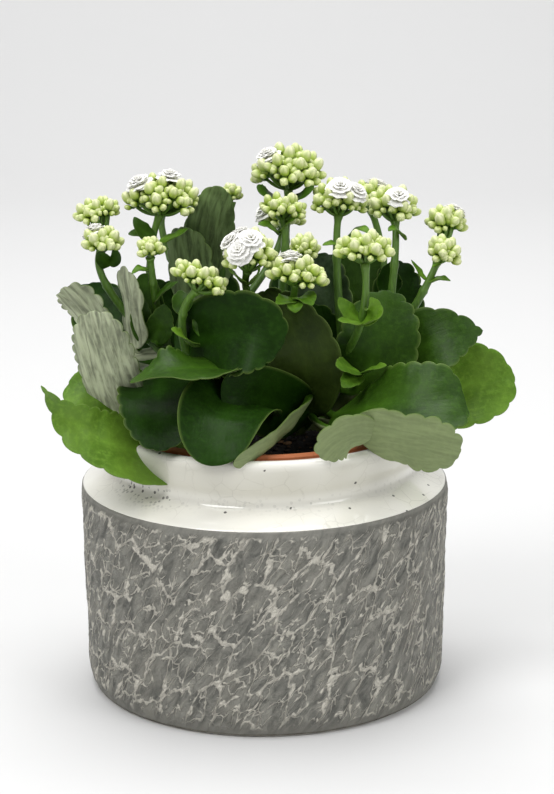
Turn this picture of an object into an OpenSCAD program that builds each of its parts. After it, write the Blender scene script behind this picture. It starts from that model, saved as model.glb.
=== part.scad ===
// A flowering kalanchoe in its nursery pot, standing inside a ceramic cover pot.
// Millimetres, +Z up, origin at the middle of the face that the cover pot rests on.
// The front of the plant faces -Y.

/* [Cover pot] */
// Widest diameter, over the stone coat
pot_d = 180; // [174:1:186]
// How much narrower the radius is near the foot than at the shoulder
pot_taper = 2; // [0:0.5:4]
// Height of the edge where the stone coat ends and the glazed shoulder begins
shoulder_h = 102.5; // [98:0.5:108]
// Radius of the crease between the shoulder and the collar
crease_r = 74.5; // [73:0.5:77]
// Height of the crease
crease_h = 109.5; // [108.5:0.5:112]
// Height of the top of the collar
collar_h = 132; // [130:0.5:134]
// Outer radius of the rounded lip
lip_r = 79; // [77:0.5:81]
// Inner radius of the neck that the nursery pot drops through
neck_r = 69.5; // [69:0.5:70]
// Thickness of the ceramic body wall
wall = 6; // [5:0.5:8]
// Thickness of the textured stone coat
coat_t = 1.2; // [0.8:0.1:2]

/* [Nursery pot] */
// Outer radius of the rolled rim
rim_r = 68.5; // [66:0.5:68.5]
// Height of the top of the rim
rim_h = 132.5; // [130:0.5:135]
// Outer radius at the bottom
grow_foot_r = 49; // [44:1:54]
// Thickness of the moulded wall
grow_t = 1.2; // [1:0.1:2]
// Radius of a drain hole
drain_r = 4; // [3:0.5:5]
// Number of drain holes around the bottom
drain_count = 8; // [4:1:10]

/* [Growing mix] */
// Height of the top of the growing mix at the rim
soil_h = 123; // [118:1:126]
// How far the mix is mounded up at the middle
soil_mound = 2.5; // [0:0.5:5]

/* [Plant] */
// Radius of a crown stem where it leaves the growing mix
stem_r = 4.2; // [3:0.1:5]
// Half thickness of a leaf blade along its midrib
leaf_t = 1.1; // [0.8:0.1:1.6]
// Half width of a leaf stalk
petiole_r = 1.9; // [1.5:0.1:2.5]
// Radius of a flower stalk at its foot
stalk_r = 2.2; // [1.8:0.1:2.6]

/* [Hidden] */
$fn = 64;
// Height of the cover pot's inside floor, which the nursery pot stands on
floor_h = 9;
// Outer radius of the cover pot's foot, and of its outside at the shoulder and near the foot
foot_r = pot_d / 2 - 5;
top_r = pot_d / 2;
low_r = top_r - pot_taper;
// Full width of the rounded lip
lip_t = 6;
// How far out the loose crumbs lie
crumb_reach = rim_r - 6.5;
// Turn from one bud cluster, or crumb, to the next on a spiral
golden = 137.5;

// Crown stems: foot in the mix, a point halfway up, and the tip.
STEMS = [
    [[-9, -2, 112], [-36, -5, 148], [-50, -4, 178]],   // 0 left
    [[-5, -7, 112], [-24, -15, 146], [-37, -21, 170]], // 1 front left
    [[0, 2, 112], [4, 0, 148], [9, 0, 182]],           // 2 middle
    [[-6, 8, 112], [-19, 18, 150], [-24, 24, 182]],    // 3 back left
    [[7, 0, 112], [28, -3, 146], [40, 2, 174]],        // 4 right
    [[12, 5, 112], [44, 8, 144], [66, 6, 172]],        // 5 far right
];

// Leaves: name, stem, where on the stem it grows (0 foot to 1 tip), blade base, a point
// halfway along the midrib, blade tip, width, the way the upper side faces, cupping of
// each half in degrees, and the place of the widest point (under 1 is nearer the base).
LEAVES = [
    ["leaf_front_left_long", 1, 0.30, [-35, -24, 126], [-70, -56, 134.5], [-103, -58, 164], 43, [0, -1, 1], 20, 0.60],
    ["leaf_left_pale", 0, 0.45, [-65, -28, 138], [-74, -40, 171], [-79, -44, 196], 30, [0, 1, 0], 35, 0.85],
    ["leaf_left_high_pale", 0, 0.80, [-76, -8, 174], [-85, -12, 189], [-95, -16, 201], 22, [1, 2, 0], 30, 1.10],
    ["leaf_left_high_dark", 0, 0.75, [-64, 0, 166], [-77, 16, 181], [-82, 26, 195], 36, [1, -4, 1], 20, 0.85],
    ["leaf_left_edge_on", 0, 0.85, [-62, -6, 170], [-64, -12, 191], [-66, -14, 211], 20, [5, 4, 0], 30, 0.85],
    ["leaf_left_under", 0, 0.40, [-53, -10, 141], [-73, -30, 152], [-91, -26, 160], 40, [0, -2, 1], 15, 0.85],
    ["leaf_left_round", 0, 0.60, [-49, -10, 155], [-49, -45, 152], [-47, -70, 136], 40, [0, -1, 1], 25, 0.80],
    ["leaf_left_shelf", 2, 0.55, [1, -10, 155], [-32, -50, 170], [-61, -52, 165], 30, [0, -1, 4], 25, 0.85],
    ["leaf_front_high", 0, 0.85, [-41, -15, 170], [-14, -38, 183], [9, -44, 179], 42, [0, -3, 1], 25, 0.95],
    ["leaf_front_olive", 2, 0.35, [14, -8, 136], [19, -26, 170], [-3, -18, 197], 36, [0, -1, 0], 25, 0.85],
    ["leaf_front_bowl", 2, 0.50, [-1, -25, 148], [-18, -60, 150], [-21, -82, 132], 46, [0, -1, 1], 45, 0.85],
    ["leaf_front_trough", 4, 0.20, [21, -10, 134], [-1, -40, 152], [-20, -50, 158], 34, [0, -5, 1], 25, 0.85],
    ["leaf_front_strip", 2, 0.45, [21, -24, 147], [5, -62, 138], [-14, -82, 133], 17, [0, 2, 1], 20, 0.85],
    ["leaf_right_gloss", 4, 0.45, [35, -18, 138], [62, -54, 153], [93, -57, 156], 42, [0, -1, 1], 15, 0.85],
    ["leaf_right_low_pale", 4, 0.35, [43, -60, 140], [64, -76, 141], [89, -80, 136], 31, [0, 3, 1], 15, 0.85],
    ["leaf_right_low_lobe", 4, 0.30, [50, -67, 142], [37, -75, 142], [27, -77, 133], 24, [0, 2, 1], 20, 0.85],
    ["leaf_right_middle", 4, 0.60, [46, -8, 149], [55, -14, 172], [59, -4, 196], 40, [0, -5, 1], 15, 0.85],
    ["leaf_right_back", 5, 0.60, [59, 8, 148], [81, -6, 170], [106, -5, 176], 40, [0, -3, 2], 20, 0.85],
    ["leaf_far_right", 5, 0.45, [63, 10, 141], [98, 6, 146], [122, 4, 153], 42, [1, -5, 2], 15, 0.85],
    ["leaf_middle_dark", 2, 0.50, [26, 0, 144], [28, 4, 165], [23, 6, 187], 28, [0, -1, 0], 20, 0.85],
    ["leaf_tall_back", 3, 0.85, [-26, 25, 180], [-27, 22, 212], [-20, 8, 245], 27, [0, 1, 0], 20, 0.85],
    ["leaf_tall_left", 3, 0.95, [-35, 20, 183], [-36, 18, 206], [-37, 12, 225], 24, [1, 3, 0], 20, 0.85],
    ["leaf_middle_sheen", 4, 0.40, [35, 8, 149], [31, 14, 184], [29, 24, 209], 30, [-1, -3, 0], 20, 0.85],
    ["leaf_right_high", 5, 0.85, [68, 20, 166], [67, 28, 186], [66, 34, 203], 26, [0, -5, 1], 20, 0.85],
    ["leaf_back_left_low", 3, 0.20, [-18, 15, 130], [-45, 40, 150], [-74, 58, 130], 42, [0, 0, 1], 20, 0.85],
    ["leaf_back_low", 3, 0.15, [0, 18, 130], [6, 52, 150], [10, 84, 130], 44, [0, 0, 1], 20, 0.85],
    ["leaf_back_right_low", 5, 0.25, [24, 14, 130], [44, 40, 148], [76, 56, 131], 42, [0, 0, 1], 20, 0.85],
    ["leaf_back_left_middle", 3, 0.40, [-24, 22, 148], [-46, 30, 170], [-60, 36, 192], 42, [0, -2, 1], 20, 0.85],
    ["leaf_back_middle", 3, 0.40, [-8, 20, 148], [-8, 42, 172], [-12, 66, 178], 42, [0, -1, 2], 20, 0.85],
    ["leaf_back_right_middle", 5, 0.25, [28, 16, 148], [42, 28, 178], [50, 36, 207], 42, [0, -2, 1], 20, 0.85],
    ["leaf_back_left_high", 3, 0.45, [-18, 22, 160], [-25, 26, 184], [-34, 38, 205], 34, [-1, -4, 1], 20, 0.85],
    ["leaf_back_right_high", 2, 0.60, [8, 10, 152], [18, 28, 184], [26, 40, 206], 34, [0, -3, 1], 20, 0.85],
    ["bract_left", 0, 0.90, [-51, -10, 175], [-54, -8, 190], [-57, -6, 206], 15, [0, -4, 1], 30, 0.85],
];

// Flower stems: name, crown stem it grows from, where on it, a point halfway up, the top
// (the hub that the head branches from), and its heads. A head is its middle, its three half
// sizes, the number of bud clusters and its lean to the right in degrees.
FLOWERS = [
    ["flower_stem_far_left", 0, 0.70, [-73, -6, 197], [-77, -2, 217],
        [[[-79, 6, 232], [13, 10, 8], 9, -14], [[-76, -10, 221], [12, 10, 8], 8, 0]]],
    ["flower_stem_left", 0, 0.75, [-54, 3, 202], [-49, 8, 232],
        [[[-48, 8, 235], [21, 15, 17], 20, 0]]],
    ["flower_stem_back_left", 3, 0.95, [-18, 27, 211], [-15, 30, 234],
        [[[-15, 30, 237], [6, 6, 6], 4, 0]]],
    ["flower_stem_left_low", 0, 0.95, [-52, -13, 201], [-53, -18, 216],
        [[[-53, -18, 219], [8, 7, 7], 5, 0]]],
    ["flower_stem_front_left", 1, 0.95, [-38, -27, 189], [-31, -33, 203],
        [[[-29, -33, 207], [16, 9, 7], 10, 28]]],
    ["flower_stem_tallest", 2, 0.90, [11, 16, 213], [13, 25, 241],
        [[[13, 25, 246], [20, 16, 17], 19, 0]]],
    ["flower_stem_middle_back", 2, 0.95, [11, 3, 213], [10, 6, 229],
        [[[10, 6, 233], [14, 10, 8], 9, 12]]],
    ["flower_stem_middle", 2, 0.85, [-6, -18, 195], [-7, -27, 211],
        [[[-6, -28, 215], [14, 12, 17], 14, 0]]],
    ["flower_stem_middle_low", 2, 0.80, [13, -22, 191], [15, -30, 205],
        [[[16, -34, 208], [16, 10, 11], 11, 10], [[20, -12, 217], [9, 8, 9], 6, 0]]],
    ["flower_stem_right_middle", 4, 0.90, [36, 7, 207], [37, 12, 230],
        [[[37, 12, 234], [16, 13, 15], 14, 0]]],
    ["flower_stem_right_high", 5, 0.80, [64, 13, 202], [65, 22, 225],
        [[[64, 22, 229], [15, 12, 14], 13, 10]]],
    ["flower_stem_right_front", 4, 0.70, [46, -24, 184], [48, -30, 215],
        [[[48, -30, 219], [16, 10, 10], 11, 0]]],
    ["flower_stem_far_right", 5, 0.90, [77, 8, 191], [85, 11, 207],
        [[[90, 24, 222], [12, 10, 11], 9, 0], [[87, 4, 211], [11, 9, 11], 8, 25]]],
    ["flower_stem_behind_left", 3, 0.85, [-44, 32, 203], [-50, 42, 226],
        [[[-51, 42, 230], [15, 13, 10], 12, 0]]],
    ["flower_stem_behind_middle", 3, 0.80, [2, 36, 199], [10, 46, 217],
        [[[10, 46, 221], [13, 12, 10], 10, 0]]],
    ["flower_stem_behind_right", 5, 0.80, [60, 34, 200], [54, 46, 227],
        [[[53, 46, 231], [13, 12, 10], 10, 0]]],
];

// Direction of a vector, with length 1
function unit(v) = v / norm(v);
// Point at t on the smooth curve that leaves a, passes m halfway and ends at b
function mid_curve(a, m, b, t) = let (h = 2 * m - (a + b) / 2)
    (1 - t) * (1 - t) * a + 2 * t * (1 - t) * h + t * t * b;
// Direction of the same curve at t
function mid_curve_dir(a, m, b, t) = let (h = 2 * m - (a + b) / 2)
    unit((1 - t) * (h - a) + t * (b - h));
// Points on an arc, from angle a0 to a1 in n steps
function arc(c, r, a0, a1, n) = [for (i = [0:n]) c + r * [cos(a0 + (a1 - a0) * i / n), sin(a0 + (a1 - a0) * i / n)]];
// Closed skin over rings of k points each
function ring_faces(rings, k) = concat(
    [for (i = [0:rings - 2], j = [0:k - 1], s = [0, 1]) let (a = i * k + j, b = i * k + (j + 1) % k)
        s == 0 ? [a, a + k, b] : [b, a + k, b + k]],
    [for (j = [1:k - 2]) [0, j, j + 1]],
    [for (j = [1:k - 2]) let (e = (rings - 1) * k) [e, e + j + 1, e + j]]);

// ---- pots ----

module cover_pot() {
    core_r = top_r - coat_t;
    core_low_r = low_r - coat_t;
    color([0.93, 0.92, 0.88]) rotate_extrude() polygon(concat(
        [[0, 3], [foot_r - 8, 3], [foot_r - 6.5, 0], [foot_r - 1, 0]],
        arc([core_low_r - 4.2, 4.4], 4.2, -75, 0, 3),
        [[core_r, shoulder_h - 1.8]],
        arc([core_r - 0.9, shoulder_h - 0.6], 1.3, 0, 70, 2),
        [[crease_r + 1.4, crease_h], [crease_r, crease_h + 0.8], [crease_r, crease_h + 4],
         [crease_r + 1.6, collar_h - 10], [lip_r - 0.3, collar_h - 4.6]],
        arc([lip_r - lip_t / 2, collar_h - lip_t / 2], lip_t / 2, 0, 180, 6),
        [[neck_r, collar_h - 9], [neck_r, crease_h + 3], [neck_r + 1.5, crease_h - 2.5],
         [top_r - wall - 4, shoulder_h - 7], [top_r - wall - 1.2, shoulder_h - 12],
         [low_r - wall - 1.2, floor_h + 8], [low_r - wall - 4, floor_h + 2], [low_r - wall - 9, floor_h],
         [0, floor_h]]));
}

module stone_coat() {
    color([0.47, 0.47, 0.45]) rotate_extrude() polygon(concat(
        arc([low_r - 5.4, 5.6], 5.4, -60, 0, 4),
        [[top_r, shoulder_h - 4.5], [top_r - 0.1, shoulder_h - 1.6], [top_r - 0.6, shoulder_h - 0.4],
         [top_r - coat_t, shoulder_h - 1.8]],
        [for (i = [3:-1:0]) let (a = -75 + 25 * i)
            [low_r - coat_t - 4.2 + 4.2 * cos(a), 4.4 + 4.2 * sin(a)]]));
}

module nursery_pot() {
    color([0.72, 0.36, 0.2]) difference() {
        rotate_extrude() polygon([
            [0, floor_h + 3], [grow_foot_r - 8, floor_h + 3], [grow_foot_r - 6, floor_h],
            [grow_foot_r, floor_h], [rim_r - 5.5, rim_h - 14], [rim_r - 1, rim_h - 10],
            [rim_r, rim_h - 1.2], [rim_r - 0.8, rim_h], [rim_r - 2.2, rim_h], [rim_r - grow_t - 1.8, rim_h - 1.2],
            [rim_r - grow_t - 2.2, rim_h - 9], [rim_r - grow_t - 5.7, rim_h - 13],
            [grow_foot_r - grow_t, floor_h + 4.5], [0, floor_h + 4.5]]);
        for (i = [0:drain_count - 1]) rotate(i * 360 / drain_count)
            translate([grow_foot_r * 0.6, 0, floor_h]) cylinder(r = drain_r, h = 10, center = true, $fn = 24);
    }
}

module root_ball() {
    color([0.13, 0.1, 0.08]) rotate_extrude() polygon([
        [0, floor_h + 4.5], [grow_foot_r - grow_t, floor_h + 4.5],
        [rim_r - grow_t - 5.7, rim_h - 13], [rim_r - grow_t - 3.4, soil_h - 1],
        [rim_r * 0.8, soil_h + 0.6], [rim_r * 0.4, soil_h + soil_mound], [0, soil_h + soil_mound + 0.5]]);
}

// Loose crumbs of peat and perlite lying on the mix, on a sunflower spiral
module soil_crumbs() {
    crumbs = 70;
    color([0.45, 0.35, 0.24]) for (i = [1:crumbs]) {
        r = crumb_reach * sqrt(i / crumbs);
        size = 1.1 + 0.9 * abs(sin(i * 77));
        translate([r * cos(i * golden), r * sin(i * golden), soil_h + soil_mound * (1 - r / crumb_reach) + 0.4])
            sphere(r = size, $fn = 16);
    }
}

// ---- stems ----

// Eight points around c, on a circle of radius r square to direction t
function tube_ring(c, t, r) = let (e = unit(cross(t, [0, 1, 0])), f = cross(t, e))
    [for (j = [0:7]) c + r * (e * cos(45 * j) + f * sin(45 * j))];

// Bent round stem from a through m to b, with radius ra at a and rb at b
module bent_stem(a, m, b, ra, rb, steps) {
    rings = [for (i = [0:steps]) let (t = i / steps)
        tube_ring(mid_curve(a, m, b, t), mid_curve_dir(a, m, b, t), ra + (rb - ra) * t)];
    polyhedron([for (r = rings, p = r) p], ring_faces(steps + 1, 8), convexity = 4);
}

module crown_stems() {
    color([0.35, 0.5, 0.2]) for (s = STEMS) bent_stem(s[0], s[1], s[2], stem_r, stem_r * 0.62, 6);
}

// ---- leaves ----

// Half width of the blade at b (0 base to 1 tip), for a blade of width w
function leaf_half(b, w, peak) = max(petiole_r * (1 - b) + 0.25,
    w / 2 * pow(max(0, 1 - pow(abs(2 * pow(b, peak) - 1), 2.2)), 1 / 2.2));

// One lens-shaped ring of a leaf: middle c, direction t, facing vector, half width, cup rate
function leaf_ring(c, t, face, half, thick, rate) =
    let (n = unit(face - (face * t) * t), s = cross(t, n))
    [for (p = [[-1, 0], [-0.55, 0.7], [0, 1], [0.55, 0.7], [1, 0], [0.55, -0.7], [0, -1], [-0.55, -0.7]])
        let (x = p[0] * half, k = max(0.01, rate))
        c + s * sign(x) * sin(k * abs(x)) / k * 180 / PI
          + n * ((1 - cos(k * abs(x))) / k * 180 / PI + p[1] * thick)];

// A leaf: a stalk from the crown stem that widens into a cupped blade
module leaf(row) {
    stem = STEMS[row[1]];
    root = mid_curve(stem[0], stem[1], stem[2], row[2]);
    base = row[3];
    middle = row[4];
    tip = row[5];
    width = row[6];
    face = unit(row[7]);
    rate = row[8] / (width / 2);
    reach = norm(base - root) / 2;
    lead = base - mid_curve_dir(base, middle, tip, 0) * reach;
    stalk_steps = 4;
    blade_steps = 9;
    stalk_mid = root / 4 + lead / 2 + base / 4;
    rings = concat(
        [for (i = [0:stalk_steps - 1]) let (t = i / stalk_steps)
            leaf_ring(mid_curve(root, stalk_mid, base, t), mid_curve_dir(root, stalk_mid, base, t),
                face, petiole_r, petiole_r * 0.85, 0)],
        [for (i = [0:blade_steps]) let (t = i / blade_steps)
            leaf_ring(mid_curve(base, middle, tip, t), mid_curve_dir(base, middle, tip, t),
                face, leaf_half(t, width, row[9]), leaf_t * (1.4 - 1.1 * t), rate)]);
    color([0.2, 0.42, 0.14]) polyhedron([for (r = rings, p = r) p], ring_faces(len(rings), 8), convexity = 6);
}

// ---- flowers ----

// Direction of bud cluster i of n, on a spiral over the upper half of a ball
function cluster_dir(i, n) = let (up = 1 - 0.98 * (i + 0.5) / n, side = sqrt(1 - up * up))
    [side * cos(golden * i), side * sin(golden * i), up];

// How far a head swells in direction d: 1 over the middle of a bud cluster, less between them
function swell(d, n) = let (near = max([for (i = [0:n - 1]) d * cluster_dir(i, n)]), away = acos(min(1, near)))
    0.84 + 0.16 * sqrt(max(0, 1 - pow(away / (57 * sqrt(2 / n)), 2)));

// A domed head of bud clusters with a shallow underside
module head(h) {
    half = h[1];
    around = 24;
    rows = 12;
    lean = [[cos(h[3]), 0, sin(h[3])], [0, 1, 0], [-sin(h[3]), 0, cos(h[3])]];
    rings = [for (i = [0:rows]) let (polar = 176 - 172 * i / rows)
        [for (j = [0:around - 1]) let (turn = 360 * j / around,
            d = [sin(polar) * cos(turn), sin(polar) * sin(turn), cos(polar)], k = swell(d, h[2]))
            h[0] + lean * [d[0] * half[0] * k, d[1] * half[1] * k, d[2] * half[2] * (d[2] < 0 ? 0.5 : k)]]];
    polyhedron([for (r = rings, p = r) p], ring_faces(rows + 1, around), convexity = 6);
}

// A flower stem: a bent stalk with a short branch to the middle of each head
module flower_stem(row) {
    stem = STEMS[row[1]];
    hub = row[4];
    color([0.62, 0.75, 0.35]) {
        bent_stem(mid_curve(stem[0], stem[1], stem[2], row[2]), row[3], hub, stalk_r, stalk_r * 0.8, 6);
        for (h = row[5]) {
            bent_stem(hub - [0, 0, 1], (hub + h[0]) / 2, h[0], stalk_r * 0.75, stalk_r * 0.6, 2);
            head(h);
        }
    }
}

cover_pot();
stone_coat();
nursery_pot();
root_ball();
soil_crumbs();
crown_stems();
for (l = LEAVES) leaf(l);
for (f = FLOWERS) flower_stem(f);
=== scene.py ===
"""A flowering kalanchoe in its nursery pot, standing in a glazed cover pot with a stone coat.

The lists of stems, leaves and flower stems are in millimetres, as the design has them.
Every piece is a surface worked out on a grid; mesh_piece() turns millimetres into metres.
"""

import math

import bpy
import numpy as np
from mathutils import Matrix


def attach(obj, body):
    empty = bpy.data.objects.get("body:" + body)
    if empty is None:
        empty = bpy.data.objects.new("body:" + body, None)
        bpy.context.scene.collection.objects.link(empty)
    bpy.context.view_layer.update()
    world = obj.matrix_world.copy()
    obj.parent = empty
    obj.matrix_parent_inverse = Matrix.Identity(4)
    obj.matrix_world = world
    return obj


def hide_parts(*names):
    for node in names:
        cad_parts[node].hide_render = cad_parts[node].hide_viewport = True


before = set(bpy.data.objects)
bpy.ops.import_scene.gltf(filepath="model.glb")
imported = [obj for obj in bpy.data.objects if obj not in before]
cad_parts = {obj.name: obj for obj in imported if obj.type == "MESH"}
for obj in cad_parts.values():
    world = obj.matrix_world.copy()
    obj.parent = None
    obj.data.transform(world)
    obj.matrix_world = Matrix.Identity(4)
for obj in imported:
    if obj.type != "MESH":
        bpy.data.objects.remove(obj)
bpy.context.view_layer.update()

# ---------------------------------------------------------------- driving sizes, millimetres

POT_TOP_R = 90.0
POT_LOW_R = 88.0
SHOULDER_H = 102.5
CREASE_R = 74.5
CREASE_H = 109.5
COLLAR_H = 132.0
LIP_R = 79.0
NECK_R = 69.5
COAT = 1.2
RIM_R = 68.5
SOIL_H = 123.0
SOIL_DOME = 2.5
STEM_R = 4.2
STALK_R = 2.2
PETIOLE_R = 1.9
LEAF_T = 1.1
GOLDEN = math.radians(137.5)
LEAN = math.radians(34)

# Crown stems: foot in the mix, a point halfway up, and the tip.
STEMS = [
    ((-9, -2, 112), (-36, -5, 148), (-50, -4, 178)),
    ((-5, -7, 112), (-24, -15, 146), (-37, -21, 170)),
    ((0, 2, 112), (4, 0, 148), (9, 0, 182)),
    ((-6, 8, 112), (-19, 18, 150), (-24, 24, 182)),
    ((7, 0, 112), (28, -3, 146), (40, 2, 174)),
    ((12, 5, 112), (44, 8, 144), (66, 6, 172)),
]

# Leaves: name, stem, where on it, blade base, halfway point, tip, width, the way the upper
# side faces, cupping in degrees, place of the widest point, look, and what is special: the
# height of the wave near the margin, the taper of the tip and the heel, the roll of the outer
# part in degrees and where it starts, the teeth's depth (scallop) and length (tooth), and the
# height of the pleats.
LEAVES = [
    ("leaf_front_left_long", 1, 0.30, (-35, -24, 126), (-70, -56, 134.5), (-103, -58, 164), 43,
     (0, -1, 1), 20, 0.60, "bright",
     dict(wave=1.5, taper=1.3, heel=3.6, roll=75, roll_from=0.62, scallop=2.2)),
    ("leaf_left_pale", 0, 0.45, (-65, -28, 138), (-74, -40, 171), (-79, -44, 196), 30,
     (0, 1, 0), 35, 0.85, "silver", dict(wave=0.8, pleats=0.7, scallop=2.0, tooth=7)),
    ("leaf_left_high_pale", 0, 0.80, (-76, -8, 174), (-85, -12, 189), (-95, -16, 201), 22,
     (1, 2, 0), 30, 1.10, "silver", dict(wave=0.8, pleats=0.5, scallop=2.4, tooth=6)),
    ("leaf_left_high_dark", 0, 0.75, (-64, 0, 166), (-77, 16, 181), (-82, 26, 195), 36,
     (1, -4, 1), 20, 0.85, "dark", dict()),
    ("leaf_left_edge_on", 0, 0.85, (-62, -6, 170), (-64, -12, 191), (-66, -14, 211), 20,
     (5, 4, 0), 30, 0.85, "silver", dict(wave=1.5, pleats=0.4)),
    ("leaf_left_under", 0, 0.40, (-53, -10, 141), (-73, -30, 152), (-91, -26, 160), 40,
     (0, -2, 1), 15, 0.85, "bright", dict(wave=1.2, scallop=2.2)),
    ("leaf_left_round", 0, 0.60, (-49, -10, 155), (-49, -45, 152), (-47, -70, 136), 40,
     (0, -1, 1), 25, 0.80, "dark", dict(wave=0.8)),
    ("leaf_left_shelf", 2, 0.55, (1, -10, 155), (-32, -50, 170), (-61, -52, 165), 30,
     (0, -1, 4), 25, 0.85, "mid", dict(wave=2.5, scallop=2.2)),
    ("leaf_front_high", 0, 0.85, (-41, -15, 170), (-14, -38, 183), (9, -44, 179), 42,
     (0, -3, 1), 25, 0.95, "dark", dict(wave=0.8)),
    ("leaf_front_olive", 2, 0.35, (14, -8, 136), (19, -26, 170), (-3, -18, 197), 36,
     (0, -1, 0), 25, 0.85, "olive", dict(wave=1.2, scallop=1.8, tooth=10)),
    ("leaf_front_bowl", 2, 0.50, (-1, -25, 148), (-18, -60, 150), (-21, -82, 132), 46,
     (0, -1, 1), 45, 0.85, "dark", dict(scallop=0.01)),
    ("leaf_front_trough", 4, 0.20, (21, -10, 134), (-1, -40, 152), (-20, -50, 158), 34,
     (0, -5, 1), 25, 0.85, "dark", dict(scallop=0.01)),
    ("leaf_front_strip", 2, 0.45, (21, -24, 147), (5, -62, 138), (-14, -82, 133), 17,
     (0, 2, 1), 20, 0.85, "pale", dict(scallop=0.01)),
    ("leaf_right_gloss", 4, 0.45, (35, -18, 138), (62, -54, 153), (93, -57, 156), 42,
     (0, -1, 1), 15, 0.85, "mid", dict(wave=1.4, taper=3.6)),
    ("leaf_right_low_pale", 4, 0.35, (43, -60, 140), (64, -76, 141), (89, -80, 136), 31,
     (0, 3, 1), 15, 0.85, "pale", dict(wave=1.2, taper=3.0, scallop=2.2)),
    ("leaf_right_low_lobe", 4, 0.30, (50, -67, 142), (37, -75, 142), (27, -77, 133), 24,
     (0, 2, 1), 20, 0.85, "pale", dict(wave=0.5, scallop=2.0, tooth=6)),
    ("leaf_right_middle", 4, 0.60, (46, -8, 149), (55, -14, 172), (59, -4, 196), 40,
     (0, -5, 1), 15, 0.85, "mid", dict(wave=1.4, scallop=2.0)),
    ("leaf_right_back", 5, 0.60, (59, 8, 148), (81, -6, 170), (106, -5, 176), 40,
     (0, -3, 2), 20, 0.85, "mid", dict(wave=1.2, taper=1.3)),
    ("leaf_far_right", 5, 0.45, (63, 10, 141), (98, 6, 146), (122, 4, 153), 42,
     (1, -5, 2), 15, 0.85, "bright", dict(wave=1.2, scallop=1.6, tooth=11)),
    ("leaf_middle_dark", 2, 0.50, (26, 0, 144), (28, 4, 165), (23, 6, 187), 28,
     (0, -1, 0), 20, 0.85, "dark", dict()),
    ("leaf_tall_back", 3, 0.85, (-26, 25, 180), (-27, 22, 212), (-20, 8, 245), 27,
     (0, 1, 0), 20, 0.85, "under", dict(wave=0.8, scallop=0.8)),
    ("leaf_tall_left", 3, 0.95, (-35, 20, 183), (-36, 18, 206), (-37, 12, 225), 24,
     (1, 3, 0), 20, 0.85, "under", dict()),
    ("leaf_middle_sheen", 4, 0.40, (35, 8, 149), (31, 14, 184), (29, 24, 209), 30,
     (-1, -3, 0), 20, 0.85, "sheen", dict()),
    ("leaf_right_high", 5, 0.85, (68, 20, 166), (67, 28, 186), (66, 34, 203), 26,
     (0, -5, 1), 20, 0.85, "dark", dict()),
    ("leaf_back_left_low", 3, 0.20, (-18, 15, 130), (-45, 40, 150), (-74, 58, 130), 42,
     (0, 0, 1), 20, 0.85, "mid", dict(wave=1.2)),
    ("leaf_back_low", 3, 0.15, (0, 18, 130), (6, 52, 150), (10, 84, 130), 44,
     (0, 0, 1), 20, 0.85, "mid", dict(wave=1.5)),
    ("leaf_back_right_low", 5, 0.25, (24, 14, 130), (44, 40, 148), (76, 56, 131), 42,
     (0, 0, 1), 20, 0.85, "dark", dict(wave=1.2)),
    ("leaf_back_left_middle", 3, 0.40, (-24, 22, 148), (-46, 30, 170), (-60, 36, 192), 42,
     (0, -2, 1), 20, 0.85, "dark", dict(wave=1.0)),
    ("leaf_back_middle", 3, 0.40, (-8, 20, 148), (-8, 42, 172), (-12, 66, 178), 42,
     (0, -1, 2), 20, 0.85, "mid", dict(wave=1.5)),
    ("leaf_back_right_middle", 5, 0.25, (28, 16, 148), (42, 28, 178), (50, 36, 207), 42,
     (0, -2, 1), 20, 0.85, "mid", dict(wave=1.0)),
    ("leaf_back_left_high", 3, 0.45, (-18, 22, 160), (-25, 26, 184), (-34, 38, 205), 34,
     (-1, -4, 1), 20, 0.85, "dark", dict()),
    ("leaf_back_right_high", 2, 0.60, (8, 10, 152), (18, 28, 184), (26, 40, 206), 34,
     (0, -3, 1), 20, 0.85, "dark", dict()),
    ("bract_left", 0, 0.90, (-51, -10, 175), (-54, -8, 190), (-57, -6, 206), 15,
     (0, -4, 1), 30, 0.85, "mid", dict(scallop=0.01)),
]

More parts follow.
